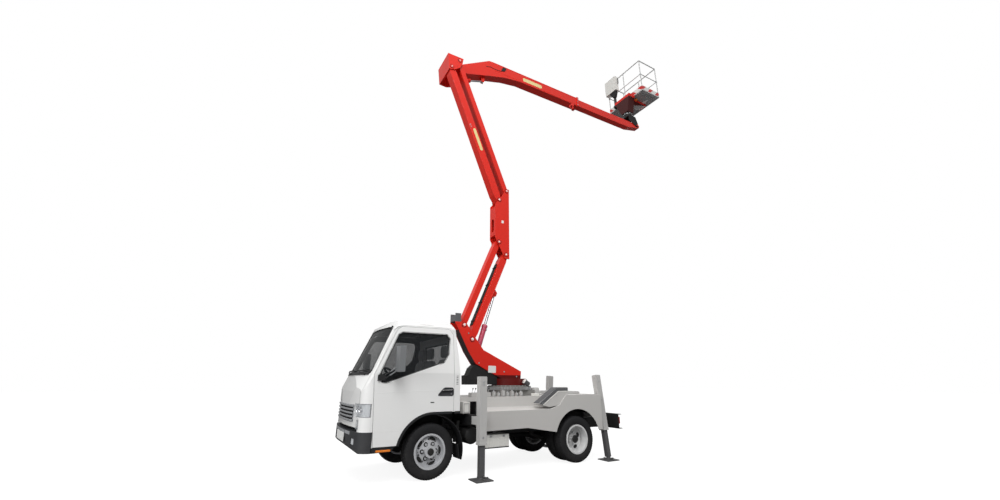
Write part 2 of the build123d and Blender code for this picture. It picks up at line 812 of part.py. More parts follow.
with BuildPart() as inner_room:
    add(cab_inner)
    block((cab_rear_x - overrun, cab_front_x + overrun), (-cab_half, cab_half),
          (cab_floor_z + cab_floor_t, cab_top_z), mode=Mode.INTERSECT)
    round_y((axle_x, tyre_r), arch_r + cab_wall, -cab_half, cab_half, mode=Mode.SUBTRACT)
    block((cab_rear_x, axle_x), (-cab_half, cab_half), (cab_low_z, tyre_r + arch_r + cab_wall), mode=Mode.SUBTRACT)

arch_z = tyre_r + arch_r
with BuildPart() as cab_shell:
    add(cab_outer)
    add(inner_room.part, mode=Mode.SUBTRACT)
    round_y((axle_x, tyre_r), arch_r, -cab_half - overrun, cab_half + overrun, mode=Mode.SUBTRACT)
    block((cab_rear_x - overrun, axle_x), (-cab_half - overrun, cab_half + overrun), (cab_low_z - overrun, arch_z),
          mode=Mode.SUBTRACT)
    block((axle_x, cab_front_x + overrun), (-cab_tunnel_half, cab_tunnel_half), (cab_low_z - overrun, cab_floor_z),
          mode=Mode.SUBTRACT)
    for name, side in sides:
        add(door_prism(side, 0, door_swing_room), mode=Mode.SUBTRACT)
    slab_x(windscreen_points, *windscreen_span, mode=Mode.SUBTRACT)
    block((cab_rear_x - overrun, cab_rear_x + cab_wall * 3), (-rear_window_half, rear_window_half),
          (rear_window_low_z, rear_window_top_z), mode=Mode.SUBTRACT)
    for name, side in sides:
        for y_span, z_span in ((headlamp_y, headlamp_z), (corner_lamp_y, corner_lamp_z)):
            block((lamp_rear_x, cab_front_x + overrun), (side * y_span[0], side * y_span[1]), z_span, mode=Mode.SUBTRACT)
    block((cab_corner_x, cab_front_x + overrun), (-grille_half, grille_half), grille_z, mode=Mode.SUBTRACT)
    block((cab_corner_x - overrun, cab_front_x + overrun), (-cab_half, cab_half), (cab_low_z - overrun, bumper_z[1] + seat_gap),
          mode=Mode.SUBTRACT)
    for z in (waist_seam_z, roof_seam_z):
        block((cab_rear_x - overrun, cab_front_x + overrun), (-cab_half - overrun, cab_half + overrun), (z, z + seat_gap),
              mode=Mode.SUBTRACT)
    for x, top in ((rear_seam_x, roof_seam_z), (front_seam_x, waist_seam_z)):
        block((x, x + seat_gap), (-cab_half - overrun, cab_half + overrun), (cab_low_z - overrun, top), mode=Mode.SUBTRACT)
save(cab_shell, "cab_shell")

with BuildPart() as cab_glass:
    add(glass_outer)
    add(glass_inner, mode=Mode.SUBTRACT)
    with BuildPart(mode=Mode.PRIVATE) as openings:
        slab_x(windscreen_points, *windscreen_span)
        block((cab_rear_x - overrun, cab_rear_x + cab_wall * 3), (-rear_window_half, rear_window_half),
              (rear_window_low_z, rear_window_top_z))
    add(openings.part, mode=Mode.INTERSECT)
save(cab_glass, "cab_glass")

with BuildPart() as headlamps:
    add(cab_outer)
    add(lamp_back, mode=Mode.SUBTRACT)
    with BuildPart(mode=Mode.PRIVATE) as pockets:
        for name, side in sides:
            for y_span, z_span in ((headlamp_y, headlamp_z), (corner_lamp_y, corner_lamp_z)):
                block((lamp_rear_x + seat_gap, cab_front_x + overrun), (side * y_span[0], side * y_span[1]), z_span)
    add(pockets.part, mode=Mode.INTERSECT)
save(headlamps, "headlamps")

with BuildPart() as grille:
    add(cab_outer)
    add(lamp_back, mode=Mode.SUBTRACT)
    block((cab_corner_x, cab_front_x), (-grille_half, grille_half), grille_z, mode=Mode.INTERSECT)
    pitch = (grille_z[1] - grille_z[0]) / (grille_slats + 1)
    for i in range(grille_slats):
        z = grille_z[0] + pitch * (i + 0.65)
        block((cab_front_x - cab_nose_sweep - lamp_depth / 2, cab_front_x + overrun), (pitch - grille_half, grille_half - pitch),
              (z, z + pitch * 0.6), mode=Mode.SUBTRACT)
save(grille, "grille")

with BuildPart() as bumper:
    with BuildSketch(Plane.XY.offset(bumper_z[0])) as bumper_plan:
        with BuildLine():
            half = cab_half + bumper_proud / 3
            corner = (cab_front_x - cab_nose_sweep + bumper_proud, cab_nose_half + bumper_proud / 2)
            middle = (corner[0] - (half - corner[1]) / 2, half - (half - corner[1]) / 4)
            Line((bumper_rear_x, -half), (bumper_rear_x, half))
            Line((bumper_rear_x, half), (cab_corner_x, half))
            ThreePointArc((cab_corner_x, half), middle, corner)
            ThreePointArc(corner, (cab_front_x + bumper_proud, 0), (corner[0], -corner[1]))
            ThreePointArc((corner[0], -corner[1]), (middle[0], -middle[1]), (cab_corner_x, -half))
            Line((cab_corner_x, -half), (bumper_rear_x, -half))
        make_face()
        with BuildLine():
            half_in = cab_half - bumper_wall
            front_in = cab_front_x - cab_nose_sweep - bumper_wall
            Polyline((bumper_rear_x - overrun, -half_in), (bumper_rear_x - overrun, half_in), (cab_corner_x, half_in),
                     (front_in, cab_nose_half), (front_in, -cab_nose_half), (cab_corner_x, -half_in), close=True)
        make_face(mode=Mode.SUBTRACT)
    extrude(bumper_plan.sketch, amount=bumper_z[1] - bumper_z[0])
    face = [(cab_front_x + bumper_proud - back, z) for back, z in bumper_face]
    slab_y([(bumper_rear_x, face[0][1]), *face, (bumper_rear_x, face[-1][1])], -cab_half - overrun, cab_half + overrun,
           mode=Mode.INTERSECT)
    for name, side in sides:
        block((bumper_rear_x, cab_front_x + bumper_proud + overrun), (side * fog_y[0], side * fog_y[1]), fog_z,
              mode=Mode.SUBTRACT)
    for name, side in sides:
        block((frame_front_x, front_in), (side * (rail_y - rail_flange), side * rail_y), (rail_low, rail_top - rail_wall))
save(bumper, "bumper")


# Doors with their glass and mirrors

for name, side in sides:
    window = [(p[0], p[1]) for p in door_window_points]
    prism = door_prism(side, side_gap)
    with BuildPart() as door:
        add(cab_outer)
        add(cab_inner, mode=Mode.SUBTRACT)
        add(prism, mode=Mode.INTERSECT)
        round_y((axle_x, tyre_r), arch_r, side * (cab_tunnel_half - cab_wall), side * (cab_half + overrun), mode=Mode.SUBTRACT)
        block((cab_rear_x, axle_x), (side * (cab_tunnel_half - cab_wall), side * (cab_half + overrun)), (cab_low_z, arch_z),
              mode=Mode.SUBTRACT)
        slab_y(window, side * (cab_tunnel_half - cab_wall), side * (cab_half + overrun), mode=Mode.SUBTRACT)
    save(door, f"door_{name}")

    with BuildPart() as door_glass:
        add(glass_outer)
        add(glass_inner, mode=Mode.SUBTRACT)
        slab_y(window, side * (cab_tunnel_half - cab_wall), side * (cab_half + overrun), mode=Mode.INTERSECT)
    save(door_glass, f"door_glass_{name}")

    with BuildPart() as mirror:
        pad_z = (mirror_pad_z[0] + mirror_pad_z[1]) / 2
        pad_y = side * (cab_half + seat_gap)
        block((mirror_x - mirror_half_x, mirror_x + mirror_half_x), (side * mirror_y[0], side * mirror_y[1]), mirror_z)
        slab_y([(mirror_pad_x[0], mirror_pad_z[0]), (mirror_pad_x[1], mirror_pad_z[0]), (mirror_pad_x[1], pad_z),
                (mirror_pad_x[0], pad_z)], pad_y, pad_y + side * overrun)
        for z in (mirror_pad_z[0] + overrun, pad_z - overrun / 2):
            start = (mirror_pad_x[0] + overrun, pad_y + side * overrun / 2, z)
            end = (mirror_x, side * (mirror_y[0] + mirror_y[1]) / 2, z + (mirror_z[0] - mirror_pad_z[0]) + overrun)
            tube_between(start, end, mirror_tube_r)
    save(mirror, f"mirror_{name}")


# Cab interior

with BuildPart() as seats:
    for y, half in seat_places:
        y_span = (y - half, y + half)
        block(seat_x, y_span, seat_z)
        low = seat_z[1] + seat_gap
        slab_y([(seat_back_x[0], low), (seat_back_x[1], low), (seat_back_x[1] - seat_lean, seat_back_top),
                (seat_back_x[0] - seat_lean / 4, seat_back_top)], *y_span)
        block((seat_back_x[0], seat_back_x[0] + seat_lean), (y - headrest_half, y + headrest_half),
              (seat_back_top + seat_gap, headrest_top))
    block((seat_x[0], seat_x[1] - seat_lean), (-cab_tunnel_half, cab_tunnel_half), (arch_z + cab_wall, seat_z[0] - seat_gap))
save(seats, "seats")

with BuildPart() as dashboard:
    slab_y([(dash_x[0], dash_z[0]), (dash_x[1], dash_z[0]), (dash_x[1], dash_z[1]), (dash_x[0] + overrun * 2, dash_z[1]),
            (dash_x[0], dash_z[1] - overrun * 3)], -dash_half, dash_half)
    block((dash_x[1] - overrun, dash_nose_x), (-dash_nose_half, dash_nose_half), dash_z)
    wheel_frame = Plane(origin=steering_centre, x_dir=(0, 1, 0), z_dir=(-sin(radians(steering_tilt)), 0, cos(radians(steering_tilt))))
    with BuildSketch(Plane(origin=wheel_frame.origin, x_dir=wheel_frame.x_dir, z_dir=wheel_frame.y_dir)) as ring:
        with Locations((steering_r, 0)):
            Circle(steering_tube_r)
    revolve(ring.sketch, axis=Axis(steering_centre, tuple(wheel_frame.z_dir)))
    for i in range(3):
        angle = radians(90 + 120 * i)
        rim_point = wheel_frame.from_local_coords((steering_r * cos(angle), steering_r * sin(angle), 0))
        tube_between(steering_centre, tuple(rim_point), steering_tube_r * 0.8)
    column_end = (dash_x[0] - column_out, steering_centre[1], dash_z[1] - overrun * 5)
    tube_between(steering_centre, column_end, steering_tube_r * 1.6)
    tube_between(column_end, (dash_x[0] - seat_gap, column_end[1], column_end[2]), steering_tube_r * 1.2)
save(dashboard, "dashboard")


# Mudguards behind the front wheels

with BuildPart() as mudguards:
    for name, side in sides:
        low, high = sorted((side * mudguard_y[0], side * mudguard_y[1]))
        with BuildSketch(side_plane(high)) as strip:
            with BuildLine():
                with Locations((axle_x, tyre_r)):
                    CenterArc((axle_x, tyre_r), mudguard_r, mudguard_from, mudguard_to - mudguard_from)
                    CenterArc((axle_x, tyre_r), mudguard_r + mudguard_t, mudguard_from, mudguard_to - mudguard_from)
                Line(along((axle_x, tyre_r), mudguard_from, mudguard_r), along((axle_x, tyre_r), mudguard_from, mudguard_r + mudguard_t))
                Line(along((axle_x, tyre_r), mudguard_to, mudguard_r), along((axle_x, tyre_r), mudguard_to, mudguard_r + mudguard_t))
            make_face()
        extrude(strip.sketch, amount=high - low)
        stay = along((axle_x, tyre_r), 150.0, mudguard_r + mudguard_t)
        round_y(stay, mudguard_stay_r, side * rail_y, side * mudguard_y[1])
save(mudguards, "mudguards")


# Body: deck, inner walls, ledges and side aprons in one folded shell

apron_points = share_points(apron_shares, (apron_rear_x, apron_front_x), (apron_low_z, apron_top_z))
slope_low, slope_high = apron_points[4], apron_points[2]
with BuildPart() as body_deck:
    for name, side in sides:
        outer = side * apron_half
        slab_y(apron_points, outer, outer - side * apron_t)
        wall = [(slope_high[0], ledge_z), (apron_front_x, ledge_z), (apron_front_x, deck_z), (slope_high[0], deck_z)]
        slab_y(wall, side * deck_half, side * (deck_half - apron_t))
        slab_x([(outer, ledge_z - deck_t), (outer, ledge_z), (side * deck_half, ledge_inner_z),
                (side * deck_half, ledge_inner_z - deck_t)], apron_points[3][0], apron_front_x)
        block((apron_front_x - apron_t, apron_front_x), (side * (deck_half - apron_t), outer), (apron_low_z + (apron_top_z - apron_low_z) * 0.165, ledge_z))
        block((apron_front_x, deck_front_x), (side * (deck_half - apron_t), side * deck_half), (deck_z - apron_t * 4, deck_z))
        # The sloping part of the ledge and the raised rear deck
        ramp = [(apron_points[3][0], apron_points[3][1]), (slope_high[0], slope_high[1]), (slope_high[0], slope_high[1] - deck_t * 2),
                (apron_points[3][0], apron_points[3][1] - deck_t * 2)]
        slab_y(ramp, side * (deck_half - apron_t), outer)
        slab_y([(slope_low[0], ledge_z - deck_t), (apron_points[3][0], apron_points[3][1] - deck_t * 2), (apron_points[3][0], apron_points[3][1]),
                (slope_low[0], ledge_z)], side * (deck_half - apron_t), outer)
    block((slope_high[0], deck_front_x), (-deck_half, deck_half), (deck_z - deck_t, deck_z))
    block((apron_rear_x, slope_high[0]), (-apron_half, apron_half), (apron_top_z - deck_t - (apron_top_z - deck_z), apron_top_z))
    block((apron_rear_x, apron_rear_x + apron_t), (-apron_half, apron_half), (sub_top + seat_gap, apron_top_z))
    round_y((-axle_x, tyre_r), body_arch_r, -apron_half - overrun, apron_half + overrun, mode=Mode.SUBTRACT)
    half_x, half_y = pedestal_half_x + cut_pedestal, pedestal_half_y + cut_pedestal
    block((slew_x - half_x, slew_x + half_x), (-half_y, half_y), (deck_z - deck_t * 2, deck_z + overrun), mode=Mode.SUBTRACT)
save(body_deck, "body_deck")

with BuildPart() as side_boxes:
    for name, side in sides:
        block(side_box_x, (side * side_box_y[0], side * side_box_y[1]), side_box_z)
        for x in side_box_x:
            inward = side_box_arm if x == side_box_x[0] else -side_box_arm
            block((x, x + inward), (side * rail_y, side * side_box_y[0]), (side_box_z[1] - side_box_arm, side_box_z[1]))
        block(air_box_x, (side * air_box_y[0], side * air_box_y[1]), air_box_z)
        block(air_box_x, (side * (deck_half - apron_t), side * air_box_y[1]), (air_box_z[1], deck_z - apron_t * 4))
save(side_boxes, "side_boxes")

with BuildPart() as step_boxes:
    rise = apron_points[3]
    for name, side in sides:
        slab_y([ramp_foot, ramp_nose, ramp_shoulder, ramp_rear, (ramp_rear[0], apron_top_z + seat_gap),
                (slope_high[0], apron_top_z + seat_gap), (rise[0], rise[1] + seat_gap)], side * ramp_y[0], side * ramp_y[1])
save(step_boxes, "step_boxes")


# Subframe with bearers, outrigger housings, pedestal and slew ring

with BuildPart() as subframe:
    for name, side in sides:
        block(sub_x, (side * sub_y[0], side * sub_y[1]), (rail_top, sub_top))
    for x in bearer_places:
        top = deck_z - deck_t
        block((x - bearer_t / 2, x + bearer_t / 2), (-deck_half + apron_t, deck_half - apron_t), (sub_top - overrun, top))
    block((slew_x - pedestal_half_x, slew_x + pedestal_half_x), (-pedestal_half_y, pedestal_half_y), (rail_top, pedestal_top))
    round_z((slew_x, 0), ring_r, pedestal_top, ring_top - ring_bolt_h)
    round_z((slew_x, 0), turret_ring_r, pedestal_top, ring_top)
    for i in range(ring_bolt_count):
        angle = radians(360 * i / ring_bolt_count)
        bolt = (slew_x + (ring_r + turret_ring_r) / 2 * cos(angle), (ring_r + turret_ring_r) / 2 * sin(angle))
        round_z(bolt, ring_bolt_r, ring_top - ring_bolt_h * 2, ring_top)
    housing_x = (rig_x - rig_housing[0] / 2, rig_x + rig_housing[0] / 2)
    housing_z = (rig_housing_z - rig_housing[1] / 2, rig_housing_z + rig_housing[1] / 2)
    block((sub_x[1], housing_x[0] + rig_wall), (-sub_y[1], sub_y[1]), (rail_top, housing_z[1]))
    block(housing_x, (-rig_housing_half, rig_housing_half), housing_z)
    guided = rig_housing_half - guide_height
    block((housing_x[0] + rig_wall, housing_x[1] - rig_wall), (-guided, guided),
          (housing_z[0] + rig_wall, housing_z[1] - rig_wall), mode=Mode.SUBTRACT)
    tight = rig_wall + rig_slip - seat_gap
    block((housing_x[0] + tight, housing_x[1] - tight), (-rig_housing_half - overrun, rig_housing_half + overrun),
          (housing_z[0] + tight, housing_z[1] - tight), mode=Mode.SUBTRACT)
save(subframe, "subframe")


# Front outriggers: a sliding beam with an upright leg box, and the leg that slides in it

beam_in = rig_wall + rig_slip
for name, side in sides:
    leg_x = (rig_x - leg_outer[0] / 2, rig_x + leg_outer[0] / 2)
    leg_y = (side * (rig_leg_y - leg_outer[1] / 2), side * (rig_leg_y + leg_outer[1] / 2))
    inner_x = (leg_x[0] + leg_wall, leg_x[1] - leg_wall)
    inner_y = (leg_y[0] + side * leg_wall, leg_y[1] - side * leg_wall)
    with BuildPart() as beam:
        block((housing_x[0] + beam_in, housing_x[1] - beam_in), (side * rig_beam_inner, leg_y[0]),
              (housing_z[0] + beam_in, housing_z[1] - beam_in))
        block(leg_x, leg_y, (leg_low_z, leg_top_z))
        block(inner_x, inner_y, (leg_low_z + guide_height, leg_top_z - leg_wall), mode=Mode.SUBTRACT)
        tight = leg_slip - seat_gap
        block((inner_x[0] + tight, inner_x[1] - tight), (inner_y[0] + side * tight, inner_y[1] - side * tight),
              (leg_low_z - overrun, leg_low_z + guide_height + overrun), mode=Mode.SUBTRACT)
    save(beam, f"outrigger_beam_{name}")

    with BuildPart() as leg:
        slip = leg_slip
        block((inner_x[0] + slip, inner_x[1] - slip), (inner_y[0] + side * slip, inner_y[1] - side * slip),
              (leg_inner_low, leg_inner_top))
        round_z((rig_x, side * rig_leg_y), foot_ball_r, foot_t, leg_inner_low)
        block((rig_x - foot_half[0], rig_x + foot_half[0]), (side * rig_leg_y - foot_half[1], side * rig_leg_y + foot_half[1]),
              (0, foot_t))
    save(leg, f"outrigger_leg_{name}")


# Rear outriggers: splayed leg boxes on a cross beam, and the legs that slide in them

def splayed(side):
    """Plane at a rear foot whose normal runs up the leg."""
    a = radians(rear_rig_splay)
    return Plane(origin=(rear_rig_x, side * rear_rig_foot_y, 0), x_dir=(1, 0, 0), z_dir=(0, -side * sin(a), cos(a)))


def splayed_box(side, half_x, half_y, low, high, mode=Mode.ADD):
    with BuildSketch(splayed(side).offset(low)) as section:
        Rectangle(2 * half_x, 2 * half_y)
    extrude(section.sketch, amount=high - low, mode=mode)


with BuildPart() as rear_rig:
    block((rear_rig_x - rear_beam_half_x, rear_rig_x + rear_beam_half_x), (-rear_rig_foot_y + leg_outer[1], rear_rig_foot_y - leg_outer[1]),
          rear_beam_z)
    block((sub_x[0], rear_rig_x), (-sub_y[1], sub_y[1]), (rail_top, rear_beam_z[1]))
    for name, side in sides:
        splayed_box(side, leg_outer[0] / 2, leg_outer[1] / 2, rear_leg_low, rear_leg_top)
    for name, side in sides:
        splayed_box(side, leg_outer[0] / 2 - leg_wall, leg_outer[1] / 2 - leg_wall, rear_leg_low + guide_height,
                    rear_leg_top - leg_wall, mode=Mode.SUBTRACT)
        guide_half = (leg_outer[0] / 2 - leg_wall - leg_slip + seat_gap, leg_outer[1] / 2 - leg_wall - leg_slip + seat_gap)
        splayed_box(side, *guide_half, rear_leg_low - overrun, rear_leg_low + guide_height + overrun, mode=Mode.SUBTRACT)
save(rear_rig, "rear_outriggers")

for name, side in sides:
    with BuildPart() as rear_leg:
        inner_half = (leg_outer[0] / 2 - leg_wall - leg_slip, leg_outer[1] / 2 - leg_wall - leg_slip)
        splayed_box(side, *inner_half, leg_inner_low, leg_inner_top)
        round_z((rear_rig_x, side * rear_rig_foot_y), foot_ball_r, foot_t / 2, leg_inner_low + foot_t)
        block((rear_rig_x - foot_half[0], rear_rig_x + foot_half[0]),
              (side * rear_rig_foot_y - foot_half[1], side * rear_rig_foot_y + foot_half[1]), (0, foot_t))
    save(rear_leg, f"rear_leg_{name}")


# Rear cross beam and tail lamps

with BuildPart() as rear_beam:
    web = underrun_x[1] - underrun_wall
    slab_y([(underrun_x[1], underrun_z[0]), (underrun_x[1], underrun_z[1]), (underrun_x[0], underrun_z[1]),
            (underrun_x[0], underrun_z[1] - underrun_wall), (web, underrun_z[1] - underrun_wall),
            (web, underrun_z[0] + underrun_wall), (underrun_x[0], underrun_z[0] + underrun_wall), (underrun_x[0], underrun_z[0])],
           -underrun_half, underrun_half)
save(rear_beam, "rear_beam")

with BuildPart() as tail_lamps:
    for name, side in sides:
        block((web - tail_lamp_t, web), (side * tail_lamp_y[0], side * tail_lamp_y[1]), tail_lamp_z)
save(tail_lamps, "tail_lamps")


# Turret

turret_points = share_points(turret_shares, turret_x, turret_z)
with BuildPart() as turret_frame:
    for side in (-1, 1):
        slab_y(turret_points, side * (plate_y - plate_t), side * plate_y)
    pin(lower_boom_foot, -plate_y, plate_y)
    pin(lower_link_foot, -plate_y, plate_y)
    round_y(lift_foot, lift_rod_r, -plate_y, plate_y)
    round_z((slew_x, 0), turret_ring_r, ring_top + seat_gap, turret_ring_top)
    # Cross plate along the lower front edge, and the rear end plate
    front = turret_points[7:]
    low = turret_points[6]
    for start, end in ((low, front[0]), (front[0], front[1]), (front[1], front[2])):
        dx, dz = end[0] - start[0], end[1] - start[1]
        length = sqrt(dx * dx + dz * dz)
        nx, nz = -dz / length * plate_t, dx / length * plate_t
        slab_y([start, end, (end[0] + nx, end[1] + nz), (start[0] + nx, start[1] + nz)], -plate_y, plate_y)
    block((turret_points[5][0], turret_points[5][0] + plate_t), (-plate_y, plate_y), (turret_ring_top - plate_t, turret_points[4][1]))
    # Boom rest: a seat between two horns on the plates' top ends
    plate_top = turret_points[0][1]
    block(saddle_x, (-saddle_half, saddle_half), (plate_top + overrun, saddle_seat_z))
    for side in (-1, 1):
        block(saddle_x, (side * saddle_inner_half, side * saddle_half), (plate_top - overrun, saddle_horn_z))
save(turret_frame, "turret_frame")

with BuildPart() as turret_base:
    slab_y(share_points(base_shares, turret_x, turret_z), -base_half, base_half)
    round_z((slew_x, 0), turret_ring_r + seat_gap, ring_top - overrun, turret_ring_top + overrun, mode=Mode.SUBTRACT)
save(turret_base, "turret_base")

# Lower linkage and its lift cylinder

with BuildPart() as lower_link:
    arm(lower_link_foot, lower_angle, lower_length, lower_link_depth, lower_link_half, arm_eye_r, arm_pin_r)
save(lower_link, "lower_link")

lift_lug = along(lower_boom_foot, lower_angle, lift_lug_along, lift_lug_off)
ear_in = lift_eye_half + lug_gap
with BuildPart() as lower_boom:
    arm(lower_boom_foot, lower_angle, lower_length, lower_boom_depth, lower_boom_half, arm_eye_r, arm_pin_r)
    for side in (-1, 1):
        ear = [along(lower_boom_foot, lower_angle, lift_lug_along + s, off) for s, off in (
            (-lift_lug_off * lift_ear_share, lower_boom_depth / 2 - plate_t), (lift_lug_off * lift_ear_share, lower_boom_depth / 2 - plate_t),
            (lift_eye_r, lift_lug_off + lift_eye_r), (-lift_eye_r, lift_lug_off + lift_eye_r))]
        slab_y(ear, side * ear_in, side * (ear_in + lug_plate))
        round_y(lift_lug, lift_rod_r, side * (ear_in + lug_plate / 2), side * (ear_in + lug_plate * 1.8))
save(lower_boom, "lower_boom")


def cylinder(foot, lug, middle, barrel_r, barrel_length, rod_r, rod_from, eye_r, eye_half):
    """Barrel and rod of one ram on the line from its foot to its lug, at one place across the truck."""
    foot_point, lug_point = Vector(foot[0], middle, foot[1]), Vector(lug[0], middle, lug[1])
    along_ram = (lug_point - foot_point).normalized()
    base_start = foot_point + along_ram * (eye_r * eye_neck_share)
    with BuildPart() as barrel:
        tube_between(base_start, foot_point + along_ram * barrel_length, barrel_r)
        round_y(foot, eye_r, middle - eye_half, middle + eye_half)
        tube_between(base_start + along_ram * eye_r, foot_point + along_ram * (barrel_length + eye_r), rod_r + rod_slip,
                     mode=Mode.SUBTRACT)
        round_y(foot, rod_r + run_gap, middle - barrel_r - overrun, middle + barrel_r + overrun, mode=Mode.SUBTRACT)
    with BuildPart() as rod:
        tube_between(foot_point + along_ram * rod_from, lug_point, rod_r)
        round_y(lug, eye_r, middle - eye_half, middle + eye_half)
    return barrel, rod


lift_barrel, lift_rod = cylinder(lift_foot, lift_lug, 0, lift_barrel_r, lift_barrel_length, lift_rod_r, lift_rod_from, lift_eye_r,
                                 lift_eye_half)
save(lift_barrel, "lift_barrel")
save(lift_rod, "lift_rod")


# Middle head

with BuildPart() as middle_head:
    head_points = share_points(head_shares, head_x, head_z)
    for side in (-1, 1):
        slab_y(head_points, side * (plate_y - plate_t), side * plate_y)
    block((head_x[1] - plate_t, head_x[1]), (-plate_y, plate_y), head_front_z)
    block((head_x[0], head_x[0] + plate_t), (-plate_y, plate_y), head_rear_z)
    slot_mid = (head_slot_z[0] + head_slot_z[1]) / 2
    with BuildSketch(Plane.YZ.offset(head_x[1] - plate_t - overrun)) as slot:
        with Locations((0, slot_mid)):
            SlotOverall(head_slot_z[1] - head_slot_z[0], head_slot_w, rotation=90)
    extrude(slot.sketch, amount=plate_t + 2 * overrun, mode=Mode.SUBTRACT)
    for place in (lower_boom_top, lower_link_top, upper_boom_foot, upper_link_foot):
        pin(place, -plate_y, plate_y)
save(middle_head, "middle_head")


# Upper linkage

with BuildPart() as upper_boom:
    arm(upper_boom_foot, upper_angle, upper_length, upper_boom_depth, upper_boom_half, arm_eye_r, arm_pin_r)
save(upper_boom, "upper_boom")

with BuildPart() as upper_link:
    arm(upper_link_foot, upper_angle, upper_length, upper_link_depth, upper_link_half, arm_eye_r * 0.96, arm_pin_r)
save(upper_link, "upper_link")


# Top knuckle

knuckle_points = share_points(knuckle_shares, knuckle_x, knuckle_z)
with BuildPart() as top_knuckle:
    slab_y(knuckle_points, plate_y - plate_t, plate_y)
    lobe_points = share_points(lobe_shares, knuckle_x, knuckle_z)
    slab_y(lobe_points, knuckle_inner_y, knuckle_inner_y + plate_t)
    slab_y(lobe_points, knuckle_far_y, knuckle_far_y - plate_t)
    top_front, low_front = knuckle_points[0], knuckle_points[-1]
    slab_y([top_front, low_front, (low_front[0] + plate_t, low_front[1]), (top_front[0] + plate_t, top_front[1])],
           knuckle_far_y - plate_t, plate_y)
    pin(upper_boom_top, knuckle_inner_y, plate_y)
    pin(upper_link_top, knuckle_inner_y, plate_y)
    round_y(luff_pivot, arm_pin_r, knuckle_far_y, knuckle_inner_y)
    round_y(luff_foot, luff_rod_r, knuckle_far_y, knuckle_inner_y)
save(top_knuckle, "top_knuckle")


# Telescopic boom: gooseneck and outer box, then the inner box with its nose

rise = (luff_pivot[1], boom_top)
reach = (boom_elbow_x, luff_pivot[0])
neck_top = share_points(neck_top_shares, reach, rise)
neck_low = share_points(neck_low_shares, reach, rise)
boom_mid_y = (boom_y[0] + boom_y[1]) / 2
with BuildPart() as tele_outer:
    slab_y([(collar_x, boom_low), (collar_x, boom_top), *neck_top, (luff_pivot[0], luff_pivot[1] + root_r),
            (luff_pivot[0], luff_pivot[1] - root_r), *reversed(neck_low)], *boom_y)
    round_y(luff_pivot, root_r, *boom_y)
    block((collar_x, collar_x + collar_w), (boom_y[0] - collar_proud, boom_y[1] + collar_proud),
          (boom_low - collar_proud, boom_top + collar_proud))
    block((collar_x + collar_w, boom_elbow_x - overrun), (boom_y[0] + boom_wall, boom_y[1] - boom_wall),
          (boom_low + boom_wall, boom_top - boom_wall), mode=Mode.SUBTRACT)
    pad = boom_wall + inner_slip - seat_gap
    block((collar_x - overrun, collar_x + collar_w + overrun), (boom_y[0] + pad, boom_y[1] - pad),
          (boom_low + pad, boom_top - pad), mode=Mode.SUBTRACT)
    channel_half = luff_barrel_r + luff_channel_gap
    slab_y(luff_channel, boom_mid_y - channel_half, boom_mid_y + channel_half, mode=Mode.SUBTRACT)
    round_y(luff_pivot, arm_pin_r + run_gap, knuckle_far_y, knuckle_inner_y, mode=Mode.SUBTRACT)
    for side in (-1, 1):
        y_in = boom_mid_y + side * (luff_eye_half + lug_gap)
        slab_y([(luff_lug[0] - luff_eye_r * 2, luff_lug[1] + root_r * 1.4), (luff_lug[0] + luff_eye_r * 2, luff_lug[1] + root_r * 1.2),
                (luff_lug[0] + luff_eye_r, luff_lug[1] - luff_eye_r), (luff_lug[0] - luff_eye_r, luff_lug[1] - luff_eye_r)],
               y_in, y_in + side * lug_plate)
save(tele_outer, "tele_outer")

inner_in = boom_wall + inner_slip
with BuildPart() as tele_inner:
    top, bottom = boom_top - inner_in, boom_low + inner_in
    slab_y([(inner_tail_x, bottom), (inner_tail_x, top), (inner_end_x, top), (nose_x, top), (nose_x - inner_in, (top + nose_pin[1]) / 2),
            (nose_x, nose_pin[1] - root_r / 2), (inner_end_x, bottom)], boom_y[0] + inner_in, boom_y[1] - inner_in)
    round_y(nose_pin, arm_pin_r, boom_y[0] - inner_in, boom_y[1] + inner_in)
save(tele_inner, "tele_inner")

luff_barrel, luff_rod = cylinder(luff_foot, luff_lug, boom_mid_y, luff_barrel_r, luff_barrel_length, luff_rod_r, luff_rod_from,
                                 luff_eye_r, luff_eye_half)
save(luff_barrel, "luff_barrel")
save(luff_rod, "luff_rod")


# Levelling bracket and basket

ear_y = boom_y[0] + inner_in - side_gap, boom_y[1] - inner_in + side_gap
with BuildPart() as level_bracket:
    for y, side in ((ear_y[0], -1), (ear_y[1], 1)):
        slab_y([(nose_pin[0] - pin_head_r, nose_pin[1] - pin_head_r), (nose_pin[0] + pin_head_r, nose_pin[1] - pin_head_r),
                (rotator_x + bracket_half, boom_top + overrun), (rotator_x + bracket_half, rotator_z[0]),
                (rotator_x - bracket_half, rotator_z[0]), (nose_pin[0] - pin_head_r, boom_top)], y, y + side * plate_t)
        round_y(nose_pin, arm_pin_r + run_gap, y - side * overrun, y + side * overrun * 2, mode=Mode.SUBTRACT)
    block((rotator_x - bracket_half, rotator_x + bracket_half), (ear_y[0] - plate_t, ear_y[1] + plate_t),
          (rotator_z[0] - plate_t * 2, rotator_z[0]))
    round_z((rotator_x, rotator_y), rotator_r, rotator_z[0] - plate_t, rotator_z[1])
save(level_bracket, "level_bracket")

with BuildPart() as basket_support:
    slab_x([(rotator_y - rotator_r, support_z[0]), (rotator_y + rotator_r, support_z[0]), (rotator_y + rotator_r * 2, support_z[1]),
            (rotator_y - rotator_r * 3, support_z[1])], rotator_x + rotator_r, rotator_x - rotator_r)
    slab_y([(rotator_x - rotator_r, (support_z[0] + support_z[1]) / 2), (rotator_x - rotator_r, support_z[1]),
            (basket_x[0] + rotator_r, support_z[1]), (basket_x[0] + rotator_r, support_z[1] - rotator_r / 2)],
           rotator_y - rotator_r, rotator_y + rotator_r)
save(basket_support, "basket_support")

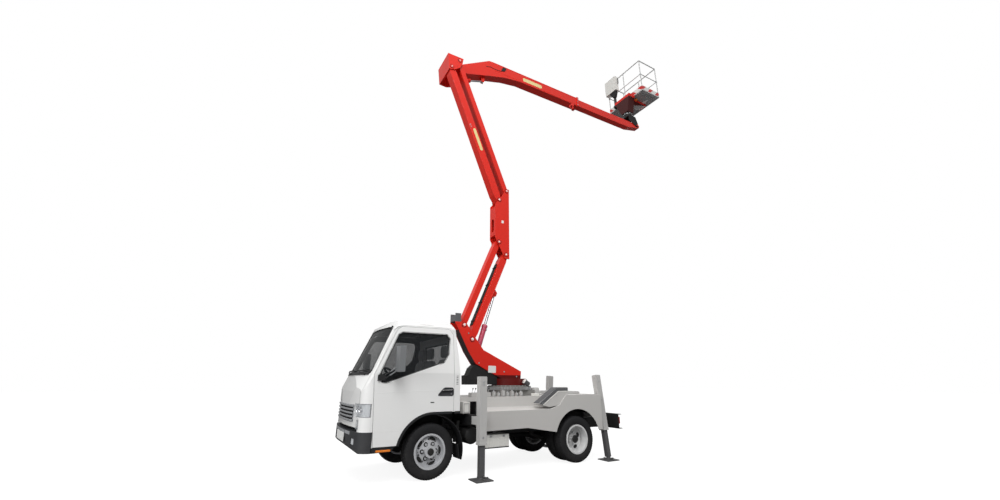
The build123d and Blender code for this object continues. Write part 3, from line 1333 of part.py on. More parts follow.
with BuildPart() as basket_cage:
    floor = (basket_floor_z - basket_floor_t, basket_floor_z)
    block(basket_x, basket_y, floor)
    t = kick_t
    kick = (basket_floor_z, basket_floor_z + kick_height)
    for x in basket_x:
        inward = t if x == basket_x[0] else -t
        block((x, x + inward), basket_y, kick)
    for y in basket_y:
        inward = t if y == basket_y[0] else -t
        block(basket_x, (y, y + inward), kick)
    r = basket_tube_r
    x_ends = (basket_x[0] + r, basket_x[1] - r)
    y_ends = (basket_y[0] + r, basket_y[1] - r)
    mid_y = (y_ends[0] + y_ends[1]) / 2
    mid_z = basket_floor_z + mid_rail_share * (basket_top_z - basket_floor_z)
    for x in x_ends:
        for y in (*y_ends, mid_y):
            tube_between((x, y, basket_floor_z - r), (x, y, basket_top_z - r), basket_post_r)
    for z, rail_r in ((basket_top_z - r, r), (mid_z, mid_rail_r)):
        for x in x_ends:
            tube_between((x, y_ends[0], z), (x, y_ends[1], z), rail_r)
        for y in y_ends:
            tube_between((x_ends[0], y, z), (x_ends[1], y, z), rail_r)
    for x in x_ends:
        for y in y_ends:
            with Locations((x, y, basket_top_z - r)):
                Sphere(basket_corner_r)
save(basket_cage, "basket_cage")

with BuildPart() as control_box:
    x0 = basket_x[1] + seat_gap
    block((x0, x0 + control_t), control_y, control_z)
    block((x0 + control_t / 3, x0 + control_t * 2 / 3), (control_post_y - control_t / 4, control_post_y + control_t / 4),
          (basket_floor_z - basket_floor_t, control_z[0]))
    block((x0, x0 + control_t * 2 / 3), (control_post_y - control_t / 4, control_post_y + control_t / 4),
          (basket_floor_z - basket_floor_t, basket_floor_z))
save(control_box, "control_box")
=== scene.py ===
"""Looks of the cherry picker truck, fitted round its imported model.

Lengths are in metres. +X is forwards, +Y is the truck's left, +Z is up, and the ground is z = 0.
"""
import math

import bmesh
import bpy
import numpy as np
from mathutils import Matrix, Vector


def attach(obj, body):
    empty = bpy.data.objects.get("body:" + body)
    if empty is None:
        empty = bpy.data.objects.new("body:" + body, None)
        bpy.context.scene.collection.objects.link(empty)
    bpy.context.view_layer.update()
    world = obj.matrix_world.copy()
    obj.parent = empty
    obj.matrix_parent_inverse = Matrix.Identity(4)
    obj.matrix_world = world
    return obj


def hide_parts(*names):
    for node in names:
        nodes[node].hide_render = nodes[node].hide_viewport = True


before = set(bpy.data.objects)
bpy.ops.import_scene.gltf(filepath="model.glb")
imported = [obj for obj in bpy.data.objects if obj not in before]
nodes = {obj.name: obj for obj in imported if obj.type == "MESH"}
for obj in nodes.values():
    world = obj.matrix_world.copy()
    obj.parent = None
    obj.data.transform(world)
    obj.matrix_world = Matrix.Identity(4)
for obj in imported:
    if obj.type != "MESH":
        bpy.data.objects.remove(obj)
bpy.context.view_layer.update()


# ---- Camera, light and backdrop ----

def place_camera():
    """The photograph's standpoint: a wide lens low beside the cab, tipped up."""
    data = bpy.data.cameras.new("camera")
    data.sensor_width = 36.0
    data.lens = 14.465
    data.clip_end = 200.0
    camera = bpy.data.objects.new("camera", data)
    bpy.context.scene.collection.objects.link(camera)
    camera.location = (3.382, 6.404, 1.243)
    camera.rotation_mode = "QUATERNION"
    camera.rotation_quaternion = Vector((-0.4717, -0.8253, 0.3105)).to_track_quat("-Z", "Y")
    bpy.context.scene.camera = camera


def area_light(name, place, target, size, power):
    """A square lamp at a place, turned to face a target."""
    data = bpy.data.lights.new(name, "AREA")
    data.size = size
    data.energy = power
    lamp = bpy.data.objects.new(name, data)
    bpy.context.scene.collection.objects.link(lamp)
    lamp.location = place
    lamp.rotation_mode = "QUATERNION"
    lamp.rotation_quaternion = (Vector(target) - Vector(place)).to_track_quat("-Z", "Y")


def studio():
    """White to the eye. Other rays find light falling from 0.85 overhead to 0.16 at and under the horizon."""
    scene = bpy.context.scene
    scene.view_settings.view_transform = "Standard"
    world = bpy.data.worlds.new("studio")
    scene.world = world
    world.use_nodes = True
    tree = world.node_tree
    tree.nodes.clear()
    facing = tree.nodes.new("ShaderNodeSeparateXYZ")
    tree.links.new(tree.nodes.new("ShaderNodeNewGeometry").outputs["Position"], facing.inputs[0])
    lift = tree.nodes.new("ShaderNodeMapRange")
    lift.inputs["From Min"].default_value = -0.05
    lift.inputs["From Max"].default_value = 0.9
    lift.inputs["To Min"].default_value = 0.16
    lift.inputs["To Max"].default_value = 0.85
    tree.links.new(facing.outputs[2], lift.inputs["Value"])
    soft = tree.nodes.new("ShaderNodeBackground")
    tree.links.new(lift.outputs[0], soft.inputs["Strength"])
    seen = tree.nodes.new("ShaderNodeBackground")
    for shader in (soft, seen):
        shader.inputs["Color"].default_value = (1, 1, 1, 1)
    mix = tree.nodes.new("ShaderNodeMixShader")
    out = tree.nodes.new("ShaderNodeOutputWorld")
    tree.links.new(tree.nodes.new("ShaderNodeLightPath").outputs["Is Camera Ray"], mix.inputs[0])
    tree.links.new(soft.outputs[0], mix.inputs[1])
    tree.links.new(seen.outputs[0], mix.inputs[2])
    tree.links.new(mix.outputs[0], out.inputs[0])
    area_light("key", (5.0, 10.0, 12.0), (-0.5, 0, 3.0), 8.0, 1250)
    area_light("front", (12.0, 5.0, 4.5), (0.5, 0, 2.0), 6.0, 570)
    area_light("back", (-9.0, -6.0, 12.0), (-1.0, 0, 4.0), 8.0, 420)


def ground():
    """A floor that looks near white with the truck's soft shadow, and throws little light back up."""
    side = 60.0
    mesh = bpy.data.meshes.new("floor")
    mesh.from_pydata([(-side, -side, 0), (side, -side, 0), (side, side, 0), (-side, side, 0)], [], [(0, 1, 2, 3)])
    floor = bpy.data.objects.new("floor", mesh)
    bpy.context.scene.collection.objects.link(floor)
    material = bpy.data.materials.new("floor_white")
    material.use_nodes = True
    tree = material.node_tree
    tree.nodes.clear()
    shaders = []
    for kind, level in (("ShaderNodeBsdfDiffuse", 0.9), ("ShaderNodeEmission", 1.0), ("ShaderNodeBsdfDiffuse", 0.16)):
        shaders.append(tree.nodes.new(kind))
        shaders[-1].inputs["Color"].default_value = (level, level, level, 1)
    shaders[1].inputs["Strength"].default_value = 1.18
    seen = tree.nodes.new("ShaderNodeMixShader")
    seen.inputs[0].default_value = 0.76
    tree.links.new(shaders[0].outputs[0], seen.inputs[1])
    tree.links.new(shaders[1].outputs[0], seen.inputs[2])
    mix = tree.nodes.new("ShaderNodeMixShader")
    out = tree.nodes.new("ShaderNodeOutputMaterial")
    tree.links.new(tree.nodes.new("ShaderNodeLightPath").outputs["Is Camera Ray"], mix.inputs[0])
    tree.links.new(shaders[2].outputs[0], mix.inputs[1])
    tree.links.new(seen.outputs[0], mix.inputs[2])
    tree.links.new(mix.outputs[0], out.inputs[0])
    mesh.materials.append(material)


place_camera()
studio()
ground()


# ---- Colours and finishes ----

def shade(red, green, blue):
    """A colour as it looks on a screen, 0 to 255, turned to linear light: ((c + 0.055) / 1.055) ** 2.4 above 0.04."""
    c = np.array([red, green, blue]) / 255.0
    return tuple(float(v) for v in np.where(c > 0.04045, ((c + 0.055) / 1.055) ** 2.4, c / 12.92))


def calc(tree, kind, *terms):
    """One arithmetic step on sockets and numbers."""
    step = tree.nodes.new("ShaderNodeMath")
    step.operation = kind
    for socket, term in zip(step.inputs, terms):
        if isinstance(term, (int, float)):
            socket.default_value = term
        else:
            tree.links.new(term, socket)
    return step.outputs[0]


def mingle(tree, share, low, high):
    """One colour laid over another by a share, which is a number or a socket."""
    step = tree.nodes.new("ShaderNodeMix")
    step.data_type = "RGBA"
    for index, term in ((0, share), (6, low), (7, high)):
        if isinstance(term, (int, float)):
            step.inputs[index].default_value = term
        elif isinstance(term, tuple):
            step.inputs[index].default_value = (*term, 1)
        else:
            tree.links.new(term, step.inputs[index])
    return step.outputs[2]


def cloud(tree, place, scale, detail=3.0, roughness=0.55):
    """Soft noise over Object coordinates, from 0 to 1."""
    step = tree.nodes.new("ShaderNodeTexNoise")
    step.inputs["Scale"].default_value = scale
    step.inputs["Detail"].default_value = detail
    step.inputs["Roughness"].default_value = roughness
    tree.links.new(place, step.inputs["Vector"])
    return step.outputs["Fac"]


def window(tree, value, low, high):
    """A value spread from 0 at low to 1 at high."""
    step = tree.nodes.new("ShaderNodeMapRange")
    step.inputs["From Min"].default_value = low
    step.inputs["From Max"].default_value = high
    tree.links.new(value, step.inputs["Value"])
    return step.outputs["Result"]


def finish(name, colour, rough=0.4, drift=0.12, patch=2.5, grain=260.0, relief=0.02, metal=0.0, coat=0.0, dust=0.0,
           dust_top=0.9, over=None, alpha=1.0, specular=0.5, sheen=0.0):
    """A surface whose colour and roughness drift over large patches, with fine raised grain, and road dust that
    thins out with height. over(tree, x, y, z, colour) may lay a further colour on by place."""
    material = bpy.data.materials.new(name)
    material.use_nodes = True
    tree = material.node_tree
    body = tree.nodes["Principled BSDF"]
    where = tree.nodes.new("ShaderNodeTexCoord").outputs["Object"]
    split = tree.nodes.new("ShaderNodeSeparateXYZ")
    tree.links.new(where, split.inputs[0])
    x, y, z = split.outputs
    large = cloud(tree, where, patch)
    fine = cloud(tree, where, grain, 2.0)
    base = mingle(tree, large, tuple(c * (1 - drift) for c in colour), tuple(min(1.0, c * (1 + drift)) for c in colour))
    if dust:
        low = calc(tree, "SUBTRACT", 1.0, window(tree, z, 0.1, dust_top))
        speckle = window(tree, cloud(tree, where, 14.0, 5.0, 0.7), 0.35, 0.7)
        base = mingle(tree, calc(tree, "MULTIPLY", calc(tree, "MULTIPLY", low, speckle), dust), base,
                      shade(142, 134, 122))
    if over:
        base = over(tree, x, y, z, base)
    tree.links.new(base, body.inputs["Base Color"])
    tree.links.new(calc(tree, "MULTIPLY_ADD", calc(tree, "SUBTRACT", large, 0.5), rough * 0.5, rough),
                   body.inputs["Roughness"])
    bump = tree.nodes.new("ShaderNodeBump")
    bump.inputs["Strength"].default_value = 0.35
    bump.inputs["Distance"].default_value = relief * 0.05
    tree.links.new(fine, bump.inputs["Height"])
    tree.links.new(bump.outputs[0], body.inputs["Normal"])
    body.inputs["Metallic"].default_value = metal
    body.inputs["Coat Weight"].default_value = coat
    body.inputs["Coat Roughness"].default_value = 0.06
    body.inputs["Specular IOR Level"].default_value = specular
    body.inputs["Sheen Weight"].default_value = sheen
    if alpha < 1.0:
        body.inputs["Alpha"].default_value = alpha
    return material


def cab_lining(tree, x, y, z, base):
    """Dark trim wherever a point lies over 3 cm inside the cab's outer form. Each outer face is one expression:
    side 0.848 less 0.1456 (z - 1.35), screen 2.203 - 0.453 (z - 1.3455) - 0.179 y y, nose 2.265 less 0.134 (z - 0.883)
    - 0.1155 y y, corner 0.737 x + 0.676 |y| = 2.085, rear 0.85 + 0.0615 (z - 0.454), roof 2.105 less 0.09 y y."""
    wide = calc(tree, "ABSOLUTE", y)
    square = calc(tree, "MULTIPLY", y, y)
    over_belt = calc(tree, "MAXIMUM", calc(tree, "SUBTRACT", z, 1.35), 0.0)
    side = calc(tree, "SUBTRACT", calc(tree, "MULTIPLY_ADD", over_belt, -0.1456, 0.818), wide)
    screen = calc(tree, "MULTIPLY_ADD", calc(tree, "SUBTRACT", z, 1.3455), -0.453, 2.173)
    screen = calc(tree, "SUBTRACT", calc(tree, "MULTIPLY_ADD", square, -0.179, screen), x)
    over_lamp = calc(tree, "MAXIMUM", calc(tree, "SUBTRACT", z, 0.883), 0.0)
    nose = calc(tree, "MULTIPLY_ADD", over_lamp, -0.134, 2.235)
    nose = calc(tree, "SUBTRACT", calc(tree, "MULTIPLY_ADD", square, -0.1155, nose), x)
    corner = calc(tree, "SUBTRACT", 2.085, calc(tree, "MULTIPLY_ADD", x, 0.737, calc(tree, "MULTIPLY", wide, 0.676)))
    rear = calc(tree, "SUBTRACT", x, calc(tree, "MULTIPLY_ADD", calc(tree, "SUBTRACT", z, 0.454), 0.0615, 0.88))
    roof = calc(tree, "SUBTRACT", calc(tree, "MULTIPLY_ADD", square, -0.09, 2.073), z)
    along = calc(tree, "SUBTRACT", x, 1.37)
    roof = calc(tree, "MULTIPLY_ADD", calc(tree, "MULTIPLY", along, along), -0.22, roof)
    depth = side
    for face in (screen, nose, corner, rear, roof):
        depth = calc(tree, "MINIMUM", depth, face)
    return mingle(tree, calc(tree, "GREATER_THAN", depth, 0.0), base, shade(46, 47, 49))


def hazard_stripes(tree, x, y, z, base):
    """Red bands across white: the sign of sin(k (x + y + z))."""
    across = calc(tree, "ADD", calc(tree, "ADD", x, y), z)
    wave = calc(tree, "SINE", calc(tree, "MULTIPLY", across, 2 * math.pi / 0.30))
    return mingle(tree, calc(tree, "GREATER_THAN", wave, 0.25), base, shade(205, 40, 40))


white_paint = finish("cab_white", shade(236, 236, 235), 0.22, 0.015, 0.9, 600.0, 0.006, coat=0.5, dust=0.06,
                     over=cab_lining)
box_white = finish("box_white", shade(232, 231, 226), 0.35, 0.02, 3.0, 500.0, 0.01, coat=0.2, dust=0.05)
red_paint = finish("boom_red", shade(224, 42, 28), 0.38, 0.05, 1.6, 420.0, 0.012, coat=0.08, specular=0.3)
pink_paint = finish("ram_red", shade(201, 78, 104), 0.3, 0.05, 5.0, 420.0, 0.01, coat=0.4)
apron_paint = finish("apron_grey", shade(199, 197, 194), 0.42, 0.03, 1.4, 380.0, 0.012, coat=0.15, dust=0.12,
                     dust_top=0.75)
leg_paint = finish("leg_grey", shade(186, 185, 183), 0.42, 0.04, 3.0, 380.0, 0.012, coat=0.15, dust=0.15, dust_top=0.8)
dark_steel = finish("dark_steel", shade(84, 84, 86), 0.5, 0.10, 4.0, 300.0, 0.03, metal=0.15, dust=0.12, dust_top=0.6)
under_black = finish("under_black", shade(20, 20, 21), 0.62, 0.25, 3.0, 220.0, 0.05, dust=0.07, dust_top=0.9)
black_plastic = finish("black_plastic", shade(27, 27, 29), 0.5, 0.12, 5.0, 900.0, 0.03)
bumper_grey = finish("bumper_grey", shade(44, 45, 48), 0.52, 0.08, 3.0, 1100.0, 0.03, dust=0.05)
black_rubber = finish("black_rubber", shade(19, 19, 20), 0.6, 0.15, 8.0, 700.0, 0.02)
tyre_rubber = finish("tyre_rubber", shade(31, 31, 33), 0.74, 0.12, 5.0, 520.0, 0.05, dust=0.05, dust_top=0.7,
                     specular=0.3)
rim_silver = finish("rim_silver", shade(196, 197, 200), 0.34, 0.05, 6.0, 300.0, 0.012, metal=0.2, dust=0.06)
rim_white = finish("rim_white", shade(222, 222, 222), 0.38, 0.05, 6.0, 300.0, 0.012, metal=0.1, dust=0.08)
chrome = finish("chrome", shade(224, 225, 228), 0.10, 0.03, 9.0, 800.0, 0.003, metal=1.0)
zinc = finish("zinc_plate", shade(196, 198, 200), 0.3, 0.06, 12.0, 500.0, 0.012, metal=0.8)
dark_glass = finish("dark_glass", shade(22, 26, 29), 0.04, 0.10, 1.2, 40.0, 0.0002, alpha=0.42, specular=0.55)
lamp_glass = finish("lamp_glass", shade(226, 230, 234), 0.05, 0.03, 4.0, 60.0, 0.002, alpha=0.22, specular=0.6)
reflector = finish("lamp_reflector", shade(206, 209, 212), 0.2, 0.05, 12.0, 240.0, 0.02, metal=0.25)
grille_silver = finish("grille_silver", shade(168, 170, 173), 0.28, 0.06, 6.0, 400.0, 0.01, metal=0.25, coat=0.3)
tail_red = finish("tail_red", shade(150, 20, 22), 0.18, 0.10, 20.0, 90.0, 0.02, coat=0.5)
marker_orange = finish("marker_orange", shade(236, 132, 42), 0.2, 0.08, 30.0, 150.0, 0.02, coat=0.4)
cream_plate = finish("cream_plate", shade(232, 214, 150), 0.4, 0.03, 8.0, 300.0, 0.005, coat=0.2)
white_plate = finish("white_plate", shade(238, 238, 236), 0.4, 0.02, 8.0, 300.0, 0.005)
seat_cloth = finish("seat_cloth", shade(168, 171, 172), 0.85, 0.10, 9.0, 1400.0, 0.12, sheen=0.25)
dash_plastic = finish("dash_plastic", shade(58, 59, 62), 0.6, 0.08, 4.0, 1300.0, 0.05)
cage_grey = finish("cage_grey", shade(200, 201, 200), 0.4, 0.05, 6.0, 420.0, 0.015, metal=0.05)
floor_grey = finish("floor_grey", shade(98, 99, 101), 0.5, 0.12, 5.0, 240.0, 0.06, metal=0.1)
# painted light: pale grey under the basket floor, lightened to make up for the shade there
lightened_underside_grey = finish("basket_underside_painted_light", shade(176, 176, 177), 0.5, 0.12, 5.0, 240.0, 0.06)
stripe_paint = finish("stripe_paint", shade(232, 231, 228), 0.4, 0.03, 4.0, 300.0, 0.01, over=hazard_stripes)


def turret_grey_saddle_and_painted_shade(tree, x, y, z, base):
    """Dark grey where the boom rest stands up past the plates, above 2.21 m, which is its own colour; painted shade
    between the side plates, near black, and round the foot, below 1.34 m, a deep red."""
    # painted shade: near black between the side plates, where the front plate lies in shadow
    inside = mingle(tree, calc(tree, "LESS_THAN", calc(tree, "ABSOLUTE", y), 0.0935), base, shade(40, 16, 15))
    # painted shade: a deep red round the foot, below 1.34 m
    foot = mingle(tree, calc(tree, "LESS_THAN", z, 1.3435), inside, shade(96, 16, 13))
    return mingle(tree, calc(tree, "GREATER_THAN", z, 2.2035), foot, shade(96, 97, 99))


def deck_dark(tree, x, y, z, base):
    """Grey slew ring and pedestal above the deck, black below it."""
    return mingle(tree, calc(tree, "GREATER_THAN", z, 0.99), base, shade(128, 127, 124))


def support_painted_shade(tree, x, y, z, base):
    """Red along the support's top edge, above 9.05 m, and painted shade underneath: a deep dark red below it."""
    # painted shade: the support's underside darkened below 9.05 m
    return mingle(tree, calc(tree, "LESS_THAN", z, 9.05), base, shade(66, 8, 7))


# red paint with painted shade on the support's underside
support_red_painted_shade = finish("support_red_painted_shade", shade(224, 42, 28), 0.38, 0.05, 1.6, 420.0, 0.012, coat=0.08, specular=0.3,
                     over=support_painted_shade)


def post_dark(tree, x, y, z, base):
    """Black where the desk's post and clamp hang under it, below 9.70 m."""
    return mingle(tree, calc(tree, "LESS_THAN", z, 9.698), base, shade(24, 24, 25))


def mirror_head(tree, x, y, z, base):
    """Mid grey moulding on the head, which stands out past 0.92 m, and black arms."""
    return mingle(tree, calc(tree, "GREATER_THAN", calc(tree, "ABSOLUTE", y), 0.921), base, shade(118, 120, 122))


desk_white = finish("desk_white", shade(232, 231, 226), 0.35, 0.02, 3.0, 500.0, 0.01, coat=0.2, over=post_dark)
mirror_black = finish("mirror_black", shade(30, 30, 32), 0.42, 0.08, 5.0, 900.0, 0.02, over=mirror_head)
# red paint, with painted shade between the side plates and round the foot, and the rest's own grey
turret_red_painted_shade = finish("turret_red_painted_shade", shade(224, 42, 28), 0.38, 0.05, 1.6, 420.0, 0.012, coat=0.08, specular=0.3,
                    over=turret_grey_saddle_and_painted_shade)
sub_black = finish("subframe_black", shade(20, 20, 21), 0.55, 0.25, 3.0, 220.0, 0.05, over=deck_dark)

DRESS = {
    white_paint: "cab_shell door_left door_right",
    red_paint: "lower_link lower_boom middle_head upper_boom upper_link top_knuckle tele_outer tele_inner luff_barrel",
    pink_paint: "lift_barrel", chrome: "lift_rod luff_rod",
    apron_paint: "body_deck step_boxes", leg_paint: "outrigger_beam_left outrigger_beam_right rear_outriggers",
    dark_steel: "outrigger_leg_left outrigger_leg_right rear_leg_left rear_leg_right",
    under_black: "chassis_frame engine_block front_axle rear_axle leaf_springs rear_beam knuckle_left knuckle_right "
                 "turret_base level_bracket",
    black_plastic: "mudguards", bumper_grey: "bumper",
    rim_silver: "rim_front_left rim_front_right", rim_white: "rims_rear_left rims_rear_right",
    dark_glass: "cab_glass door_glass_left door_glass_right", lamp_glass: "headlamps", grille_silver: "grille",
    tail_red: "tail_lamps", support_red_painted_shade: "basket_support", desk_white: "control_box", turret_red_painted_shade: "turret_frame",
    mirror_black: "mirror_left mirror_right", sub_black: "subframe", dash_plastic: "dashboard",
    cage_grey: "basket_cage", box_white: "side_boxes",
}

for material, names in DRESS.items():
    for name in names.split():
        for place in nodes[name].material_slots:
            place.material = material


# ---- Shapes worked out as whole arrays ----

def quads(rows, columns, round_rows=False, round_columns=False):
    """Faces between neighbouring places of a grid, (i, j) (i+1, j) (i+1, j+1) (i, j+1), closed where it goes round."""
    i, j = np.meshgrid(np.arange(rows if round_rows else rows - 1),
                       np.arange(columns if round_columns else columns - 1), indexing="ij")
    up, over = (i + 1) % rows, (j + 1) % columns
    return np.stack([i * columns + j, up * columns + j, up * columns + over, i * columns + over], -1).reshape(-1, 4)


def unit(v):
    """Rows divided by their lengths."""
    return v / np.linalg.norm(v, axis=-1, keepdims=True)


def carried(rings, closed=True):
    """A closed section whose corners each follow one line: a grid with one row per corner."""
    grid = np.stack([np.asarray(r, float) for r in rings])
    k, n = grid.shape[:2]
    groups = [quads(k, n, True, closed)]
    if not closed:
        groups += [(np.arange(k) * n)[None], (np.arange(k) * n + n - 1)[None, ::-1]]
    return grid.reshape(-1, 3), groups


def tube(path, radius, across, sides=12, closed=False):
    """A round section along a path: path + r (cos a n + sin a b), with b at right angles to the path and 'across'."""
    path = np.asarray(path, float)
    run = unit(np.roll(path, -1, 0) - np.roll(path, 1, 0)) if closed else unit(np.gradient(path, axis=0))
    b = unit(np.cross(run, across))
    n = np.cross(run, b)
    a = np.linspace(0, 2 * np.pi, sides, endpoint=False)
    rings = [path + radius * (c * n + s * b) for c, s in zip(np.cos(a), np.sin(a))]
    return carried(rings, closed)


def turned(profile, centre, axis=(0, 1, 0), sides=48, closed=False):
    """A profile of radius and distance along an axis, turned round it: centre + t w + r (cos a u + sin a v)."""
    w = unit(np.asarray(axis, float))
    u = unit(np.cross(w, (0, 0, 1.0) if abs(w[2]) < 0.9 else (1.0, 0, 0)))
    v = np.cross(w, u)
    r, t = np.asarray(profile, float).T
    a = np.linspace(0, 2 * np.pi, sides, endpoint=False)
    grid = (np.asarray(centre, float) + t[:, None, None] * w
            + r[:, None, None] * (np.cos(a)[None, :, None] * u + np.sin(a)[None, :, None] * v))
    n = len(r)
    groups = [quads(n, sides, closed, True)]
    if not closed:
        groups += [np.arange(sides)[None], ((n - 1) * sides + np.arange(sides))[None, ::-1]]
    return grid.reshape(-1, 3), groups


def prism(outline, low, high, axis="y"):
    """A closed outline carried straight between two levels: (x, z) along y, (y, z) along x, (x, y) along z."""
    outline = np.asarray(outline, float)
    n = len(outline)
    level = np.repeat([low, high], n)
    first, second = np.tile(outline, (2, 1)).T
    columns = {"x": (level, first, second), "y": (first, level, second), "z": (first, second, level)}[axis]
    return np.stack(columns, -1), [quads(2, n, False, True), np.arange(n)[None], (n + np.arange(n))[None, ::-1]]


def crate(x, y, z):
    """A box between two places on each axis."""
    return prism([(x[0], y[0]), (x[1], y[0]), (x[1], y[1]), (x[0], y[1])], z[0], z[1], "z")


def shell(grid, wall):
    """A sheet on a grid with a second sheet behind it along its normal, and the edges between closed."""
    rows, columns = grid.shape[:2]
    normal = unit(np.cross(np.gradient(grid, axis=0), np.gradient(grid, axis=1)))
    both = np.concatenate([grid.reshape(-1, 3), (grid - wall * normal).reshape(-1, 3)])
    n = rows * columns
    ring = np.concatenate([np.arange(columns - 1), np.arange(rows - 1) * columns + columns - 1,
                           n - 1 - np.arange(columns - 1), (rows - 1 - np.arange(rows - 1)) * columns])
    onward = np.roll(ring, -1)
    face = quads(rows, columns)
    return both, [face, face[:, ::-1] + n, np.stack([ring, onward, onward + n, ring + n], -1)]


def rounded(corners, radius, steps=7):
    """A closed outline whose corners are swept by (1-t)^2 a + 2t(1-t) corner + t^2 b, a and b a radius each side."""
    c = np.asarray(corners, float)
    back, ahead = np.roll(c, 1, 0) - c, np.roll(c, -1, 0) - c
    reach_back = np.linalg.norm(back, axis=1, keepdims=True)
    reach_ahead = np.linalg.norm(ahead, axis=1, keepdims=True)
    a = c + back / reach_back * np.minimum(radius, 0.45 * reach_back)
    b = c + ahead / reach_ahead * np.minimum(radius, 0.45 * reach_ahead)
    t = np.linspace(0, 1, steps)[None, :, None]
    return ((1 - t) ** 2 * a[:, None] + 2 * t * (1 - t) * c[:, None] + t ** 2 * b[:, None]).reshape(-1, 2)


def grown(loop, amount):
    """A closed flat loop moved outwards at right angles to its run."""
    run = unit(np.roll(loop, -1, 0) - np.roll(loop, 1, 0) + 1e-9)
    normal = np.stack([run[:, 1], -run[:, 0]], -1)
    turn = np.sum(loop[:, 0] * np.roll(loop[:, 1], -1) - np.roll(loop[:, 0], -1) * loop[:, 1])
    return loop + normal * amount * np.sign(turn)


def sided(side, *places):
    """Places out from the middle, on one side and in rising order."""
    return tuple(sorted(side * place for place in places))


def box_outline(u, v, radius=0.01, steps=5):
    """A rectangle between two places on each of two axes, its corners rounded."""
    return rounded([(u[0], v[0]), (u[1], v[0]), (u[1], v[1]), (u[0], v[1])], radius, steps)


def piece(name, chunks, material, body="chassis", bevel=0.0, angle=38, stands_for=()):
    """One object from point-and-face chunks: points joined end to end, faces renumbered, merged and turned outwards."""
    spots = [np.asarray(p, float).reshape(-1, 3) for p, _ in chunks]
    starts = np.cumsum([0] + [len(p) for p in spots[:-1]])
    groups = [np.asarray(g) + s for s, (_, gs) in zip(starts, chunks) for g in gs]
    corners = np.concatenate([g.ravel() for g in groups])
    sizes = np.concatenate([np.full(len(g), g.shape[1]) for g in groups])
    mesh = bpy.data.meshes.new(name)
    mesh.vertices.add(sum(map(len, spots)))
    mesh.loops.add(len(corners))
    mesh.polygons.add(len(sizes))
    mesh.vertices.foreach_set("co", np.concatenate(spots).ravel())
    mesh.loops.foreach_set("vertex_index", corners.astype(np.int32))
    mesh.polygons.foreach_set("loop_start", np.concatenate([[0], np.cumsum(sizes)[:-1]]).astype(np.int32))
    mesh.update(calc_edges=True)
    work = bmesh.new()
    work.from_mesh(mesh)
    bmesh.ops.remove_doubles(work, verts=work.verts, dist=1e-6)
    bmesh.ops.recalc_face_normals(work, faces=work.faces)
    work.to_mesh(mesh)
    work.free()
    mesh.polygons.foreach_set("use_smooth", np.ones(len(mesh.polygons), bool))
    mesh.set_sharp_from_angle(angle=math.radians(angle))
    mesh.materials.append(material)
    thing = bpy.data.objects.new(name, mesh)
    bpy.context.scene.collection.objects.link(thing)
    if bevel:
        edge = thing.modifiers.new("edge", "BEVEL")
        edge.width = bevel
        edge.segments = 2
        edge.limit_method = "ANGLE"
        edge.angle_limit = math.radians(35)
    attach(thing, body)
    if stands_for:
        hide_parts(*stands_for)
    return thing


SIDES = (("left", 1), ("right", -1))
FRONT_X, REAR_X, AXLE_Z = 1.25, -1.25, 0.35  # wheel centres
NUT_PITCH = 0.098  # radius of the circle that the wheel nuts stand on
FRONT_FACE, REAR_FACE = 0.747, 0.6415  # the wheel discs' flat faces, out from the middle
RING_X = -0.45  # the slew ring's centre
LEG_X, LEG_Y = 0.64, 1.10  # the front leg boxes
REAR_LEG_X, REAR_LEG_Y, REAR_LEG_LEAN = -1.866, 0.855, 7  # the rear leg boxes, and their lean in degrees
PLATE_FACE = 0.1101  # just proud of the turret's and heads' side plates
HEAD_PIN = 0.119  # the pins' ends
LOWER_ANGLE, LOWER_LENGTH = 112.8, 1.75  # the lower arms' slope in degrees, and their length
UPPER_ANGLE, UPPER_LENGTH = 67.8, 2.97


# ---- The cab's skin, as a function of place ----

def arc_through(p, q, r):
    """Centre and radius of the circle through three points."""
    (ax, ay), (bx, by), (cx, cy) = p, q, r
    d = 2 * (ax * (by - cy) + bx * (cy - ay) + cx * (ay - by))
    a, b, c = ax * ax + ay * ay, bx * bx + by * by, cx * cx + cy * cy
    x = (a * (by - cy) + b * (cy - ay) + c * (ay - by)) / d
    y = (a * (cx - bx) + b * (ax - cx) + c * (bx - ax)) / d
    return x, y, math.hypot(ax - x, ay - y)


NOSE_R = (0.69 ** 2 + 0.055 ** 2) / 0.11
SCREEN_R = (0.74 ** 2 + 0.098 ** 2) / 0.196
CORNER = arc_through((2.065, 0.848), (2.18174, 0.797), (2.21, 0.69))


def skin_x(y, z, out=0.0):
    """The cab's front at a width and height: the least of nose arc, corner arc, side profile and screen."""
    y, z = np.broadcast_arrays(np.asarray(y, float), np.asarray(z, float))
    wide = np.abs(y)
    nose = 2.265 - NOSE_R + np.sqrt(NOSE_R ** 2 - np.minimum(wide, 0.69) ** 2)
    corner = CORNER[0] + np.sqrt(np.maximum(CORNER[2] ** 2 - (wide - CORNER[1]) ** 2, 0))
    plan = np.where(wide > 0.69, corner, nose)
    profile = np.interp(z, (0.454, 0.883, 1.114, 1.3455, 2.0142), (2.265, 2.265, 2.242, 2.203, 1.90))
    screen = 2.203 - 0.4528 * (z - 1.3455) - SCREEN_R + np.sqrt(SCREEN_R ** 2 - np.minimum(wide, 0.74) ** 2)
    return np.minimum(np.minimum(plan, profile), screen) + out


def side_y(z, out=0.0):
    """The cab's side at a height: upright to 1.35 m, then leaning in."""
    return np.interp(z, (1.35, 1.975, 2.062), (0.848, 0.757, 0.69)) + out


def on_side(loop, sign, out):
    """A flat (x, z) line laid on the cab's side."""
    return np.stack([loop[:, 0], sign * side_y(loop[:, 1], out), loop[:, 1]], -1)


def on_front(loop, out):
    """A flat (y, z) line laid on the cab's front."""
    return np.stack([skin_x(loop[:, 0], loop[:, 1], out), loop[:, 0], loop[:, 1]], -1)


